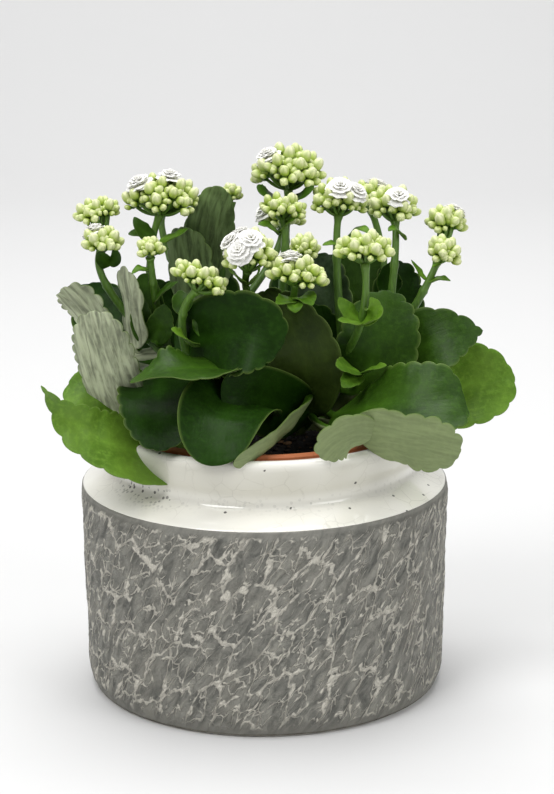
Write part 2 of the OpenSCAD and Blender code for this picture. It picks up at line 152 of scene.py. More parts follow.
# Flower stems: name, crown stem, where on it, halfway point, hub, and the heads. A head is its
# middle, half sizes, number of bud clusters, bud radius, lean in degrees, and which clusters
# have opened into a flower.
FLOWERS = [
    ("flower_stem_far_left", 0, 0.70, (-73, -6, 197), (-77, -2, 217),
     [((-79, 6, 232), (13, 10, 8), 9, 2.1, -14, ()), ((-76, -10, 221), (12, 10, 8), 8, 2.4, 0, (1,))]),
    ("flower_stem_left", 0, 0.75, (-54, 3, 202), (-49, 8, 232),
     [((-48, 8, 235), (21, 15, 17), 20, 2.3, 0, (0, 4))]),
    ("flower_stem_back_left", 3, 0.95, (-18, 27, 211), (-15, 30, 234),
     [((-15, 30, 237), (6, 6, 6), 4, 1.9, 0, ())]),
    ("flower_stem_left_low", 0, 0.95, (-52, -13, 201), (-53, -18, 216),
     [((-53, -18, 219), (8, 7, 7), 5, 2.1, 0, ())]),
    ("flower_stem_front_left", 1, 0.95, (-38, -27, 189), (-31, -33, 203),
     [((-29, -33, 207), (16, 9, 7), 10, 2.2, 28, ())]),
    ("flower_stem_tallest", 2, 0.90, (11, 16, 213), (13, 25, 241),
     [((13, 25, 246), (20, 16, 17), 19, 2.5, 0, (4,))]),
    ("flower_stem_middle_back", 2, 0.95, (11, 3, 213), (10, 6, 229),
     [((10, 6, 233), (14, 10, 8), 9, 2.2, 12, ())]),
    ("flower_stem_middle", 2, 0.85, (-6, -18, 195), (-7, -27, 211),
     [((-6, -28, 215), (14, 12, 17), 14, 2.4, 0, (1, 2, 4, 7))]),
    ("flower_stem_middle_low", 2, 0.80, (13, -22, 191), (15, -30, 205),
     [((16, -34, 208), (16, 10, 11), 11, 2.3, 10, (1,)), ((20, -12, 217), (9, 8, 9), 6, 2.3, 0, ())]),
    ("flower_stem_right_middle", 4, 0.90, (36, 7, 207), (37, 12, 230),
     [((37, 12, 234), (16, 13, 15), 14, 2.4, 0, (2, 5))]),
    ("flower_stem_right_high", 5, 0.80, (64, 13, 202), (65, 22, 225),
     [((64, 22, 229), (15, 12, 14), 13, 2.4, 10, (2,))]),
    ("flower_stem_right_front", 4, 0.70, (46, -24, 184), (48, -30, 215),
     [((48, -30, 219), (16, 10, 10), 11, 2.4, 0, ())]),
    ("flower_stem_far_right", 5, 0.90, (77, 8, 191), (85, 11, 207),
     [((90, 24, 222), (12, 10, 11), 9, 2.4, 0, (3,)), ((87, 4, 211), (11, 9, 11), 8, 2.4, 25, ())]),
    ("flower_stem_behind_left", 3, 0.85, (-44, 32, 203), (-50, 42, 226),
     [((-51, 42, 230), (15, 13, 10), 12, 2.3, 0, (3,))]),
    ("flower_stem_behind_middle", 3, 0.80, (2, 36, 199), (10, 46, 217),
     [((10, 46, 221), (13, 12, 10), 10, 2.3, 0, (4,))]),
    ("flower_stem_behind_right", 5, 0.80, (60, 34, 200), (54, 46, 227),
     [((53, 46, 231), (13, 12, 10), 10, 2.3, 0, (3,))]),
]

# Bracts, the small leaves on flower stems: the flower stem's name without its first two words,
# base, halfway point, tip, width, the way the upper side faces, and look.
BRACTS = [
    ("right_front", (46, -26, 186), (40, -30, 192), (36, -32, 199), 9, (0, -1, 1), "bract"),
    ("right_front", (47, -26, 186), (52, -31, 192), (50, -33, 199), 10, (0, -1, 1), "bract"),
    ("right_front", (46, -26, 185), (41, -33, 188), (35, -36, 189), 8, (0, -1, 2), "bract"),
    ("right_front", (46, -26, 185), (52, -32, 189), (56, -34, 193), 8, (0, -1, 2), "bract"),
    ("right_front", (45, -20, 160), (39, -32, 165), (34, -38, 168), 12, (0, -1, 1), "bract"),
    ("right_front", (46, -20, 159), (41, -32, 159), (37, -38, 157), 10, (0, -2, 1), "bract"),
    ("right_front", (47, -20, 159), (52, -30, 164), (58, -36, 167), 8, (0, -1, 2), "bract"),
    ("front_left", (-33, -26, 175), (-37, -34, 181), (-43, -38, 186), 11, (0, -1, 2), "bract"),
    ("front_left", (-31, -26, 180), (-27, -24, 187), (-28, -22, 196), 13, (0, -1, 0), "mid"),
    ("front_left", (-35, -26, 192), (-38, -24, 196), (-39, -22, 201), 11, (0, -1, 0), "mid"),
    ("front_left", (-28, -28, 202), (-24, -30, 202), (-19, -31, 203), 6, (0, -1, 2), "bract"),
    ("middle_low", (15, -28, 197), (11, -36, 199), (6, -40, 198), 10, (0, -1, 2), "bract"),
    ("middle_low", (16, -28, 197), (20, -36, 200), (23, -40, 197), 11, (0, -1, 2), "bract"),
    ("middle_low", (15, -28, 198), (15, -38, 197), (15, -41, 194), 9, (0, -1, 2), "bract"),
    ("far_right", (81, 10, 197), (86, 6, 200), (91, 4, 199), 6, (0, -1, 4), "bract"),
    ("far_right", (79, 10, 199), (76, 8, 203), (72, 6, 209), 3, (0, -1, 1), "bract"),
    ("far_right", (83, 10, 205), (89, 6, 209), (93, 4, 212), 3, (0, -1, 2), "bract"),
    ("far_left", (-73, -4, 210), (-76, -9, 214), (-77, -11, 218), 8, (0, -1, 0), "mid"),
    ("far_left", (-73, -4, 210), (-70, -8, 214), (-71, -10, 219), 6, (0, -1, 0), "mid"),
    ("left", (-51, 4, 221), (-57, -2, 226), (-61, -4, 233), 9, (1, -3, 2), "mid"),
    ("left", (-51, 4, 221), (-58, 0, 224), (-64, -2, 224), 8, (0, -2, 3), "mid"),
    ("left", (-49, 4, 220), (-42, 0, 223), (-36, -2, 227), 7, (0, -1, 2), "bract"),
    ("left_low", (-54, -14, 209), (-58, -18, 211), (-62, -20, 209), 5, (0, -1, 2), "bract"),
    ("left_low", (-52, -12, 193), (-47, -16, 200), (-40, -18, 204), 6, (0, -1, 2), "mid"),
    ("left_low", (-53, -10, 173), (-49, -14, 183), (-47, -16, 193), 14, (0, -1, 0), "mid"),
    ("left_low", (-55, -10, 173), (-58, -12, 185), (-57, -14, 196), 12, (0, -1, 0), "mid"),
    ("tallest", (11, 24, 235), (3, 12, 240), (-2, 8, 246), 12, (0, -2, 3), "mid"),
    ("tallest", (11, 24, 235), (19, 14, 239), (25, 10, 245), 9, (0, -2, 3), "mid"),
    ("middle_back", (9, 8, 223), (13, 3, 229), (18, 1, 233), 6, (0, -1, 2), "bract"),
    ("middle_back", (8, 8, 222), (3, 4, 227), (-2, 2, 228), 6, (0, -1, 2), "bract"),
    ("middle", (-8, -24, 204), (-12, -30, 209), (-16, -33, 213), 7, (0, -1, 2), "bract"),
    ("middle", (-7, -24, 204), (-3, -30, 209), (-1, -33, 214), 7, (0, -1, 2), "bract"),
    ("right_middle", (41, 8, 213), (35, 0, 218), (29, -3, 218), 7, (0, -1, 3), "bract"),
    ("right_middle", (42, 10, 220), (47, 4, 225), (52, 0, 223), 6, (0, -1, 2), "bract"),
    ("right_high", (70, 18, 217), (65, 12, 223), (61, 8, 223), 6, (0, -1, 2), "bract"),
    ("right_high", (65, 20, 189), (62, 20, 196), (63, 20, 205), 13, (0, -1, 0), "dark"),
]

# ---------------------------------------------------------------- numbers on a lattice


def unit(v):
    """Vectors along the last axis, brought to length 1."""
    return v / np.maximum(np.linalg.norm(v, axis=-1, keepdims=True), 1e-9)


def smooth_step(a, b, x):
    """0 below a, 1 above b, and the cubic 3t^2 - 2t^3 between them."""
    t = np.clip((x - a) / (b - a), 0, 1)
    return t * t * (3 - 2 * t)


def lattice_value(i, j, k, seed):
    """A repeatable value in 0..1 for each whole-number corner, from a fractional sine."""
    h = np.sin(i * 127.1 + j * 311.7 + k * 74.7 + seed * 53.3) * 43758.5453
    return h - np.floor(h)


def noise(p, seed):
    """Smooth value noise in 0..1: corner values mixed by the cubic step along each axis."""
    c = np.floor(p)
    f = p - c
    f = f * f * (3 - 2 * f)
    out = 0.0
    for dx in (0, 1):
        for dy in (0, 1):
            for dz in (0, 1):
                w = (f[..., 0] if dx else 1 - f[..., 0])
                w = w * (f[..., 1] if dy else 1 - f[..., 1])
                w = w * (f[..., 2] if dz else 1 - f[..., 2])
                out = out + w * lattice_value(c[..., 0] + dx, c[..., 1] + dy, c[..., 2] + dz, seed)
    return out


def mid_curve(a, m, b, t):
    """Points at t on the quadratic curve that leaves a, passes m halfway and ends at b."""
    a, m, b = (np.asarray(q, float) for q in (a, m, b))
    t = np.asarray(t, float)[..., None]
    handle = 2 * m - (a + b) / 2
    return (1 - t) ** 2 * a + 2 * t * (1 - t) * handle + t * t * b


def mid_curve_dir(a, m, b, t):
    """Unit directions of the same curve at t."""
    a, m, b = (np.asarray(q, float) for q in (a, m, b))
    t = np.asarray(t, float)[..., None]
    handle = 2 * m - (a + b) / 2
    return unit((1 - t) * (handle - a) + t * (b - handle))


# ---------------------------------------------------------------- meshes


def grid_quads(rows, cols, wrap=True):
    """Quads over a grid of rows by cols points, joined round the columns if wrap is set."""
    last = cols if wrap else cols - 1
    i, j = np.meshgrid(np.arange(rows - 1), np.arange(last), indexing="ij")
    a = i * cols + j
    b = i * cols + (j + 1) % cols
    return np.stack([a, b, b + cols, a + cols], -1).reshape(-1, 4)


def cap_fan(ring_start, cols, centre, flip):
    """Triangles from one ring of points to a centre point."""
    j = np.arange(cols)
    a, b = ring_start + j, ring_start + (j + 1) % cols
    c = np.full(cols, centre)
    return np.stack([b, a, c] if flip else [a, b, c], -1)


def closed_grid(points):
    """Points, quads and triangles of a tube grid (rows, cols, 3) closed by a fan at each end."""
    rows, cols, _ = points.shape
    ends = np.stack([points[0].mean(0), points[-1].mean(0)])
    flat = np.concatenate([points.reshape(-1, 3), ends])
    n = rows * cols
    tris = np.concatenate([cap_fan(0, cols, n, True), cap_fan(n - cols, cols, n + 1, False)])
    return flat, grid_quads(rows, cols), tris


def mesh_piece(name, points, quads, tris, material, values=None, uv=None):
    """An object from points in millimetres, quads, triangles, and per-point values and uv."""
    me = bpy.data.meshes.new(name)
    tris = np.zeros((0, 3), int) if tris is None else tris
    corners = np.concatenate([quads.ravel(), tris.ravel()]).astype(np.int32)
    starts = np.concatenate([np.arange(len(quads)) * 4, len(quads) * 4 + np.arange(len(tris)) * 3])
    me.vertices.add(len(points))
    me.vertices.foreach_set("co", (points * 0.001).astype(np.float32).ravel())
    me.loops.add(len(corners))
    me.loops.foreach_set("vertex_index", corners)
    me.polygons.add(len(starts))
    me.polygons.foreach_set("loop_start", starts.astype(np.int32))
    me.polygons.foreach_set("use_smooth", np.ones(len(starts), bool))
    for key, value in (values or {}).items():
        flat = np.ascontiguousarray(value, np.float32).ravel()
        me.attributes.new(key, "FLOAT", "POINT").data.foreach_set("value", flat)
    if uv is not None:
        me.uv_layers.new(name="UVMap").data.foreach_set("uv", uv[corners].astype(np.float32).ravel())
    me.update(calc_edges=True)
    me.validate()
    me.materials.append(material)
    piece = bpy.data.objects.new(name, me)
    bpy.context.scene.collection.objects.link(piece)
    return piece


def settle(piece, slot, *nodes):
    """Rides the piece on the pot's one body and hides the nodes it stands for; slot, the finish's name, is
    not used.
    """
    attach(piece, "root")
    if nodes:
        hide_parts(*nodes)
    return piece


class Heap:
    """Many small shapes gathered into one mesh."""

    def __init__(self):
        self.points, self.quads, self.tris, self.values, self.count = [], [], [], {}, 0

    def add(self, points, quads, tris, **values):
        """Adds one shape's points, faces and per-point values."""
        self.points.append(points)
        self.quads.append(quads + self.count)
        if tris is not None and len(tris):
            self.tris.append(tris + self.count)
        for key, value in values.items():
            self.values.setdefault(key, []).append(np.broadcast_to(value, (len(points),)))
        self.count += len(points)

    def piece(self, name, material):
        """One object from everything gathered."""
        tris = np.concatenate(self.tris) if self.tris else None
        values = {k: np.concatenate(v) for k, v in self.values.items()}
        points, quads = np.concatenate(self.points), np.concatenate(self.quads)
        return mesh_piece(name, points, quads, tris, material, values)


# ---------------------------------------------------------------- materials


class Nodes:
    """Short calls for building one material's or one group's node tree."""

    def __init__(self, tree):
        self.tree = tree

    def add(self, kind, **settings):
        """A new node with its settings."""
        node = self.tree.nodes.new(kind)
        for key, value in settings.items():
            setattr(node, key, value)
        return node

    def link(self, a, b):
        self.tree.links.new(a, b)

    def feed(self, socket, value):
        """Links a socket or sets a plain value."""
        if isinstance(value, bpy.types.NodeSocket):
            self.link(value, socket)
        else:
            socket.default_value = value

    def math(self, operation, a, b=0.0):
        node = self.add("ShaderNodeMath", operation=operation)
        for socket, value in zip(node.inputs, (a, b)):
            self.feed(socket, value)
        return node.outputs[0]

    def mix(self, factor, a, b):
        """Colour a at factor 0, colour b at factor 1."""
        node = self.add("ShaderNodeMix", data_type="RGBA")
        self.feed(node.inputs[0], factor)
        self.feed(node.inputs[6], a)
        self.feed(node.inputs[7], b)
        return node.outputs[2]

    def ramp(self, value, low, high):
        """0 to 1, smoothly, as value goes from low to high."""
        node = self.add("ShaderNodeMapRange", interpolation_type="SMOOTHSTEP")
        self.feed(node.inputs[0], value)
        node.inputs[1].default_value = low
        node.inputs[2].default_value = high
        return node.outputs[0]

    def noise(self, vector, scale, detail=2.0, rough=0.5, warp=0.0):
        node = self.add("ShaderNodeTexNoise")
        self.link(vector, node.inputs["Vector"])
        node.inputs["Scale"].default_value = scale
        node.inputs["Detail"].default_value = detail
        node.inputs["Roughness"].default_value = rough
        node.inputs["Distortion"].default_value = warp
        return node.outputs["Fac"]

    def cell_edges(self, vector, scale):
        """Distance to the nearest edge between cells."""
        node = self.add("ShaderNodeTexVoronoi", feature="DISTANCE_TO_EDGE")
        self.link(vector, node.inputs["Vector"])
        node.inputs["Scale"].default_value = scale
        return node.outputs["Distance"]

    def value(self, name):
        """A per-point value of the mesh, by its name."""
        return self.add("ShaderNodeAttribute", attribute_name=name).outputs["Fac"]

    def place(self, stretch=(1, 1, 1)):
        """Object coordinates in metres, stretched."""
        where = self.add("ShaderNodeTexCoord").outputs["Object"]
        mapping = self.add("ShaderNodeMapping")
        self.link(where, mapping.inputs["Vector"])
        mapping.inputs["Scale"].default_value = stretch
        return mapping.outputs[0]

    def bump(self, height, distance, strength=1.0):
        node = self.add("ShaderNodeBump")
        node.inputs["Strength"].default_value = strength
        node.inputs["Distance"].default_value = distance
        self.link(height, node.inputs["Height"])
        return node.outputs[0]


def new_material(name):
    """A new material: its Nodes and its Principled shader."""
    mat = bpy.data.materials.new(name)
    mat.use_nodes = True
    shader = mat.node_tree.nodes["Principled BSDF"]
    return mat, Nodes(mat.node_tree), shader


def new_group(name, numbers):
    """A node group: a vector and some numbers go in, a mask comes out."""
    group = bpy.data.node_groups.new(name, "ShaderNodeTree")
    face = group.interface
    face.new_socket("Vector", in_out="INPUT", socket_type="NodeSocketVector")
    for key, start in numbers:
        face.new_socket(key, in_out="INPUT", socket_type="NodeSocketFloat").default_value = start
    face.new_socket("Mask", in_out="OUTPUT", socket_type="NodeSocketFloat")
    n = Nodes(group)
    return group, n, n.add("NodeGroupInput").outputs


def group_mask(n, group, vector, **numbers):
    """The mask of a node group that is placed in a material with its own numbers."""
    node = n.add("ShaderNodeGroup", node_tree=group)
    n.link(vector, node.inputs["Vector"])
    for key, value in numbers.items():
        node.inputs[key].default_value = value
    return node.outputs["Mask"]


def speckle_group():
    """Specks on Object coordinates: 1 in small round spots, fewer or more as Amount says."""
    group, n, given = new_group("specks", (("Scale", 100.0), ("Size", 0.2), ("Amount", 0.5)))
    cells = n.add("ShaderNodeTexVoronoi")
    n.link(given["Vector"], cells.inputs["Vector"])
    n.link(given["Scale"], cells.inputs["Scale"])
    spot = n.math("LESS_THAN", cells.outputs["Distance"], given["Size"])
    parts = n.add("ShaderNodeSeparateColor")
    n.link(cells.outputs["Color"], parts.inputs[0])
    kept = n.math("LESS_THAN", parts.outputs[0], given["Amount"])
    n.link(n.math("MULTIPLY", spot, kept), n.add("NodeGroupOutput").inputs["Mask"])
    return group


SPECKS = speckle_group()


def specks(n, vector, scale, size, amount):
    """The specks group placed in a material with its own values."""
    return group_mask(n, SPECKS, vector, Scale=scale, Size=size, Amount=amount)


def glaze_material():
    """Cream-white glaze: crackle lines, pinholes gathered in the crease, and painted shade that greys the
    crease and the collar.
    """
    mat, n, shader = new_material("crackle_glaze")
    where = n.place()
    pool = n.noise(where, 28, 3)
    colour = n.mix(n.ramp(pool, 0.35, 0.75), (0.97, 0.955, 0.88, 1), (0.92, 0.90, 0.81, 1))
    crease = n.value("crease")
    # Painted shade: the collar, shaded by the leaves, is greyed in the base colour.
    colour = n.mix(n.value("collar"), colour, (0.58, 0.565, 0.475, 1))
    # Painted shade: the crease under the collar is darkened in the base colour.
    colour = n.mix(n.math("MULTIPLY", crease, 0.35), colour, (0.55, 0.54, 0.47, 1))
    warp = n.add("ShaderNodeMixRGB", blend_type="ADD")
    warp.inputs[0].default_value = 0.004
    n.link(where, warp.inputs[1])
    n.link(n.noise(where, 120, 2), warp.inputs[2])
    edge = n.cell_edges(warp.outputs[0], 115)
    crackle = n.math("SUBTRACT", 1.0, n.ramp(edge, 0.008, 0.035))
    crackle = n.math("MULTIPLY", crackle, n.ramp(n.noise(where, 55, 2), 0.42, 0.68))
    colour = n.mix(n.math("MULTIPLY", crackle, 0.20), colour, (0.40, 0.38, 0.32, 1))
    holes = specks(n, where, 330, 0.24, 0.02)
    band = n.math("MULTIPLY", n.value("pits"), specks(n, where, 520, 0.40, 0.45))
    big = specks(n, where, 80, 0.075, 0.07)
    dark = n.math("MAXIMUM", n.math("MAXIMUM", holes, band), big)
    colour = n.mix(n.math("MULTIPLY", dark, 0.9), colour, (0.035, 0.03, 0.025, 1))
    n.link(colour, shader.inputs["Base Color"])
    gloss = n.math("ADD", n.math("MULTIPLY", pool, 0.10), n.math("MULTIPLY", dark, 0.4))
    n.link(gloss, shader.inputs["Roughness"])
    sunk = n.math("ADD", n.math("MULTIPLY", dark, 0.8), n.math("MULTIPLY", crackle, 0.15))
    height = n.math("SUBTRACT", n.math("MULTIPLY", pool, 0.6), sunk)
    n.link(n.bump(height, 0.0006, 0.5), shader.inputs["Normal"])
    shader.inputs["Coat Weight"].default_value = 0.4
    shader.inputs["Coat Roughness"].default_value = 0.06
    return mat


def wall_place(n):
    """Places on the wall in metres: the arc from the front across, the height up."""
    parts = n.add("ShaderNodeSeparateXYZ")
    n.link(n.add("ShaderNodeTexCoord").outputs["Object"], parts.inputs[0])
    x, y, z = parts.outputs
    angle = n.math("ARCTAN2", x, n.math("MULTIPLY", y, -1.0))
    flat = n.add("ShaderNodeCombineXYZ")
    n.link(n.math("MULTIPLY", angle, POT_TOP_R * 0.001), flat.inputs[0])
    n.link(z, flat.inputs[1])
    return flat.outputs[0], angle


def leaning(n, flat, across, along):
    """Wall places turned so that up follows the lean of the trowelling, then stretched."""
    turn = n.add("ShaderNodeMapping")
    n.link(flat, turn.inputs["Vector"])
    turn.inputs["Rotation"].default_value = (0, 0, LEAN)
    stretch = n.add("ShaderNodeMapping")
    n.link(turn.outputs[0], stretch.inputs["Vector"])
    stretch.inputs["Scale"].default_value = (across, along, 1)
    return stretch.outputs[0]


def vein_group():
    """Thin raised veins: edges of long flat cells, bent by a noise and broken by a slow mask."""
    starts = (("Warp", 0.2), ("Scale", 1.0), ("Width", 0.06), ("Gap", 0.5))
    group, n, given = new_group("veins", starts)
    wave = n.add("ShaderNodeTexNoise")
    n.link(given["Vector"], wave.inputs["Vector"])
    wave.inputs["Scale"].default_value = 1.7
    wave.inputs["Detail"].default_value = 3
    shift = n.add("ShaderNodeVectorMath", operation="SUBTRACT")
    n.link(wave.outputs["Color"], shift.inputs[0])
    shift.inputs[1].default_value = (0.5, 0.5, 0.5)
    size = n.add("ShaderNodeVectorMath", operation="SCALE")
    n.link(shift.outputs[0], size.inputs[0])
    n.link(given["Warp"], size.inputs["Scale"])
    moved = n.add("ShaderNodeVectorMath", operation="ADD")
    n.link(given["Vector"], moved.inputs[0])
    n.link(size.outputs[0], moved.inputs[1])
    cells = n.add("ShaderNodeTexVoronoi", feature="DISTANCE_TO_EDGE", voronoi_dimensions="2D")
    n.link(moved.outputs[0], cells.inputs["Vector"])
    n.link(given["Scale"], cells.inputs["Scale"])
    swell = n.math("ADD", 0.35, n.noise(given["Vector"], 2.6, 2, 0.6))
    swell = n.math("MULTIPLY", given["Width"], swell)
    thin = n.math("DIVIDE", cells.outputs["Distance"], swell)
    line = n.math("MAXIMUM", n.math("SUBTRACT", 1.0, thin), 0.0)
    gate = n.noise(given["Vector"], 1.3, 2, 0.55)
    open_at = n.math("MULTIPLY", n.math("SUBTRACT", gate, given["Gap"]), 9.0)
    soft = n.add("ShaderNodeClamp")
    n.link(open_at, soft.inputs[0])
    n.link(n.math("MULTIPLY", line, soft.outputs[0]), n.add("NodeGroupOutput").inputs["Mask"])
    return group


def stone_material():
    """Matt grey coat: a web of thin cream veins, smears, specks and pores, a dark foot line and
    a narrow calm join up the back, where the flat pattern meets itself."""
    mat, n, shader = new_material("stone_coat")
    where = n.place()
    flat, angle = wall_place(n)
    long_cells = leaning(n, flat, 100, 44)
    web = vein_group()

    def veins(scale, width, gap, warp):
        return group_mask(n, web, long_cells, Scale=scale, Width=width, Gap=gap, Warp=warp)

    join = n.ramp(n.math("ABSOLUTE", angle), 3.08, 3.13)
    calm = n.math("MAXIMUM", n.value("plain"), join)
    rough = n.math("SUBTRACT", 1.0, calm)
    large = veins(0.80, 0.070, 0.36, 0.8)
    cross = veins(1.35, 0.072, 0.42, 0.7)
    tiny = veins(2.4, 0.100, 0.44, 0.6)
    fine = n.noise(where, 700, 4, 0.6)
    grain = n.noise(where, 1700, 2, 0.6)
    smear = n.noise(leaning(n, flat, 1.0, 0.4), 210, 5, 0.68, 0.6)
    broad = n.noise(where, 50, 3, 0.6)
    colour = n.mix(n.ramp(smear, 0.32, 0.66), (0.108, 0.110, 0.097, 1), (0.315, 0.309, 0.271, 1))
    colour = n.mix(n.math("MULTIPLY", n.ramp(broad, 0.42, 0.75), 0.5), colour, (0.30, 0.288, 0.245, 1))
    smudge = n.ramp(n.math("ADD", smear, n.math("MULTIPLY", n.math("SUBTRACT", fine, 0.5), 0.35)), 0.60, 0.74)
    colour = n.mix(n.math("MULTIPLY", smudge, 0.55), colour, (0.40, 0.375, 0.30, 1))
    fine_web = n.math("MAXIMUM", n.math("MULTIPLY", cross, 0.85), n.math("MULTIPLY", tiny, 0.55))
    web_all = n.math("MAXIMUM", large, fine_web)
    web_all = n.math("MULTIPLY", web_all, rough)
    colour = n.mix(n.math("MULTIPLY", n.ramp(web_all, 0.05, 0.50), 0.92), colour, (0.80, 0.765, 0.665, 1))
    light = n.math("MULTIPLY", specks(n, where, 480, 0.24, 0.22), n.value("rough"))
    grains = n.math("MULTIPLY", n.ramp(n.noise(where, 1100, 3, 0.65), 0.60, 0.72), 0.4)
    colour = n.mix(n.math("MULTIPLY", grains, rough), colour, (0.42, 0.40, 0.34, 1))
    pores = n.math("MULTIPLY", n.ramp(n.noise(where, 620, 3, 0.65), 0.60, 0.74), 0.3)
    colour = n.mix(n.math("MULTIPLY", pores, rough), colour, (0.060, 0.060, 0.052, 1))
    colour = n.mix(n.math("MULTIPLY", light, 0.8), colour, (0.58, 0.56, 0.48, 1))
    smooth = n.mix(fine, (0.18, 0.178, 0.155, 1), (0.25, 0.245, 0.215, 1))
    colour = n.mix(n.math("MULTIPLY", calm, 0.6), colour, smooth)
    colour = n.mix(n.value("foot"), colour, (0.06, 0.045, 0.022, 1))
    n.link(colour, shader.inputs["Base Color"])
    n.link(n.math("ADD", 0.52, n.math("MULTIPLY", fine, 0.3)), shader.inputs["Roughness"])
    height = n.math("ADD", n.math("MULTIPLY", fine, 0.18), n.math("MULTIPLY", grain, 0.08))
    lumps = n.math("MULTIPLY", n.math("MULTIPLY", smear, rough), 2.2)
    height = n.math("ADD", height, n.math("ADD", web_all, lumps))
    n.link(n.bump(height, 0.0018, 1.0), shader.inputs["Normal"])
    return mat


def nursery_material():
    """Moulded terracotta-coloured plastic, faintly mottled and scuffed, dusty with mix inside."""
    mat, n, shader = new_material("terracotta_plastic")
    where = n.place()
    tone = n.noise(where, 90, 3)
    colour = n.mix(tone, (0.50, 0.14, 0.045, 1), (0.62, 0.22, 0.09, 1))
    dust = n.ramp(n.noise(where, 420, 4, 0.7), 0.56, 0.74)
    colour = n.mix(n.math("MULTIPLY", dust, 0.6), colour, (0.12, 0.07, 0.04, 1))
    n.link(colour, shader.inputs["Base Color"])
    n.link(n.math("ADD", 0.38, n.math("MULTIPLY", tone, 0.25)), shader.inputs["Roughness"])
    n.link(n.bump(n.noise(where, 900, 2), 0.0002, 0.4), shader.inputs["Normal"])
    return mat


def soil_material(name, low, high):
    """Near-black fibrous peat, lighter where the per-piece value is high."""
    mat, n, shader = new_material(name)
    where = n.place()
    fibre = n.noise(where, 900, 5, 0.7)
    tone = n.math("ADD", n.math("MULTIPLY", fibre, 0.5), n.value("tone"))
    colour = n.mix(n.ramp(tone, 0.3, 1.25), low, high)
    n.link(colour, shader.inputs["Base Color"])
    n.link(n.math("ADD", 0.7, n.math("MULTIPLY", fibre, 0.3)), shader.inputs["Roughness"])
    n.link(n.bump(fibre, 0.0006, 0.9), shader.inputs["Normal"])
    return mat


def leaf_material(name, top, low_top, under, shine, glow=0.0, streaked=0.14, sheen=0.2):
    """Waxy leaf: upper side from low_top to top, paler streaked underside, pale thin margin.

    Point values say which side a point is on, how near the margin, and how near the midrib;
    uv runs along the leaf and across it, so streaks follow the veins. A higher shine is a
    rougher skin, glow adds light passing through, streaked is the streaks' contrast.
    """
    def shade(colour, k):
        return tuple(k * c for c in colour) + (1,)

    mat, n, shader = new_material(name)
    where = n.place()
    side, margin, rib = n.value("side"), n.value("margin"), n.value("rib")
    uv = n.add("ShaderNodeTexCoord").outputs["UV"]
    stretch = n.add("ShaderNodeMapping")
    n.link(uv, stretch.inputs["Vector"])
    stretch.inputs["Scale"].default_value = (0.14, 1.0, 1.0)
    streak = n.noise(stretch.outputs[0], 420, 3, 0.6, 0.5)
    cloud = n.noise(where, 45, 3, 0.55)
    fleck = n.noise(where, 380, 4, 0.6)
    upper = n.mix(n.ramp(cloud, 0.3, 0.72), shade(low_top, 1), shade(top, 1))
    upper = n.mix(n.math("MULTIPLY", n.ramp(fleck, 0.42, 0.78), 0.45), upper, shade(top, 1.55))
    net = n.cell_edges(where, 210)
    veins = n.math("SUBTRACT", 1.0, n.ramp(net, 0.0, 0.09))
    upper = n.mix(n.math("MULTIPLY", veins, 0.05), upper, shade(top, 1.9))
    upper = n.mix(n.math("MULTIPLY", rib, 0.35), upper, shade(top, 2.2))
    lower = n.mix(n.ramp(streak, 0.34, 0.70), shade(under, 1 + streaked), shade(under, 1 - 1.8 * streaked))
    lower = n.mix(n.math("MULTIPLY", n.ramp(fleck, 0.4, 0.8), 0.35), lower, shade(under, 1.3))
    colour = n.mix(side, lower, upper)
    colour = n.mix(n.math("MULTIPLY", margin, 0.7), colour, (0.165, 0.245, 0.055, 1))
    n.link(colour, shader.inputs["Base Color"])
    gloss = n.math("ADD", shine, n.math("MULTIPLY", fleck, 0.25))
    matt = n.math("ADD", 0.48, n.math("MULTIPLY", streak, 0.2))
    rough = n.add("ShaderNodeMix", data_type="FLOAT")
    n.link(side, rough.inputs[0])
    n.link(matt, rough.inputs[2])
    n.link(gloss, rough.inputs[3])
    n.link(rough.outputs[0], shader.inputs["Roughness"])
    slow = n.math("ADD", n.math("MULTIPLY", streak, 0.6), n.math("MULTIPLY", cloud, 1.5))
    height = n.math("ADD", n.math("MULTIPLY", fleck, 0.6), slow)
    height = n.math("SUBTRACT", height, n.math("MULTIPLY", veins, 0.05))
    n.link(n.bump(height, 0.0005, 0.6), shader.inputs["Normal"])
    shader.inputs["Specular IOR Level"].default_value = sheen
    shader.inputs["Subsurface Weight"].default_value = 0.05 + glow
    shader.inputs["Subsurface Radius"].default_value = (0.5, 1.0, 0.25)
    shader.inputs["Subsurface Scale"].default_value = 0.002
    return mat


def stem_material(name, low, high):
    """Smooth fleshy green: low to high along the stem, faint stripes, slight gloss."""
    mat, n, shader = new_material(name)
    stripe = n.noise(n.place((1, 1, 0.12)), 900, 3, 0.6)
    colour = n.mix(n.value("along"), low, high)
    bright = tuple(1.6 * c for c in high[:3]) + (1,)
    colour = n.mix(n.math("MULTIPLY", n.ramp(stripe, 0.4, 0.75), 0.35), colour, bright)
    n.link(colour, shader.inputs["Base Color"])
    n.link(n.math("ADD", 0.34, n.math("MULTIPLY", stripe, 0.2)), shader.inputs["Roughness"])
    n.link(n.bump(stripe, 0.0002, 0.5), shader.inputs["Normal"])
    shader.inputs["Subsurface Weight"].default_value = 0.15
    shader.inputs["Subsurface Radius"].default_value = (0.5, 1.0, 0.25)
    shader.inputs["Subsurface Scale"].default_value = 0.002
    return mat


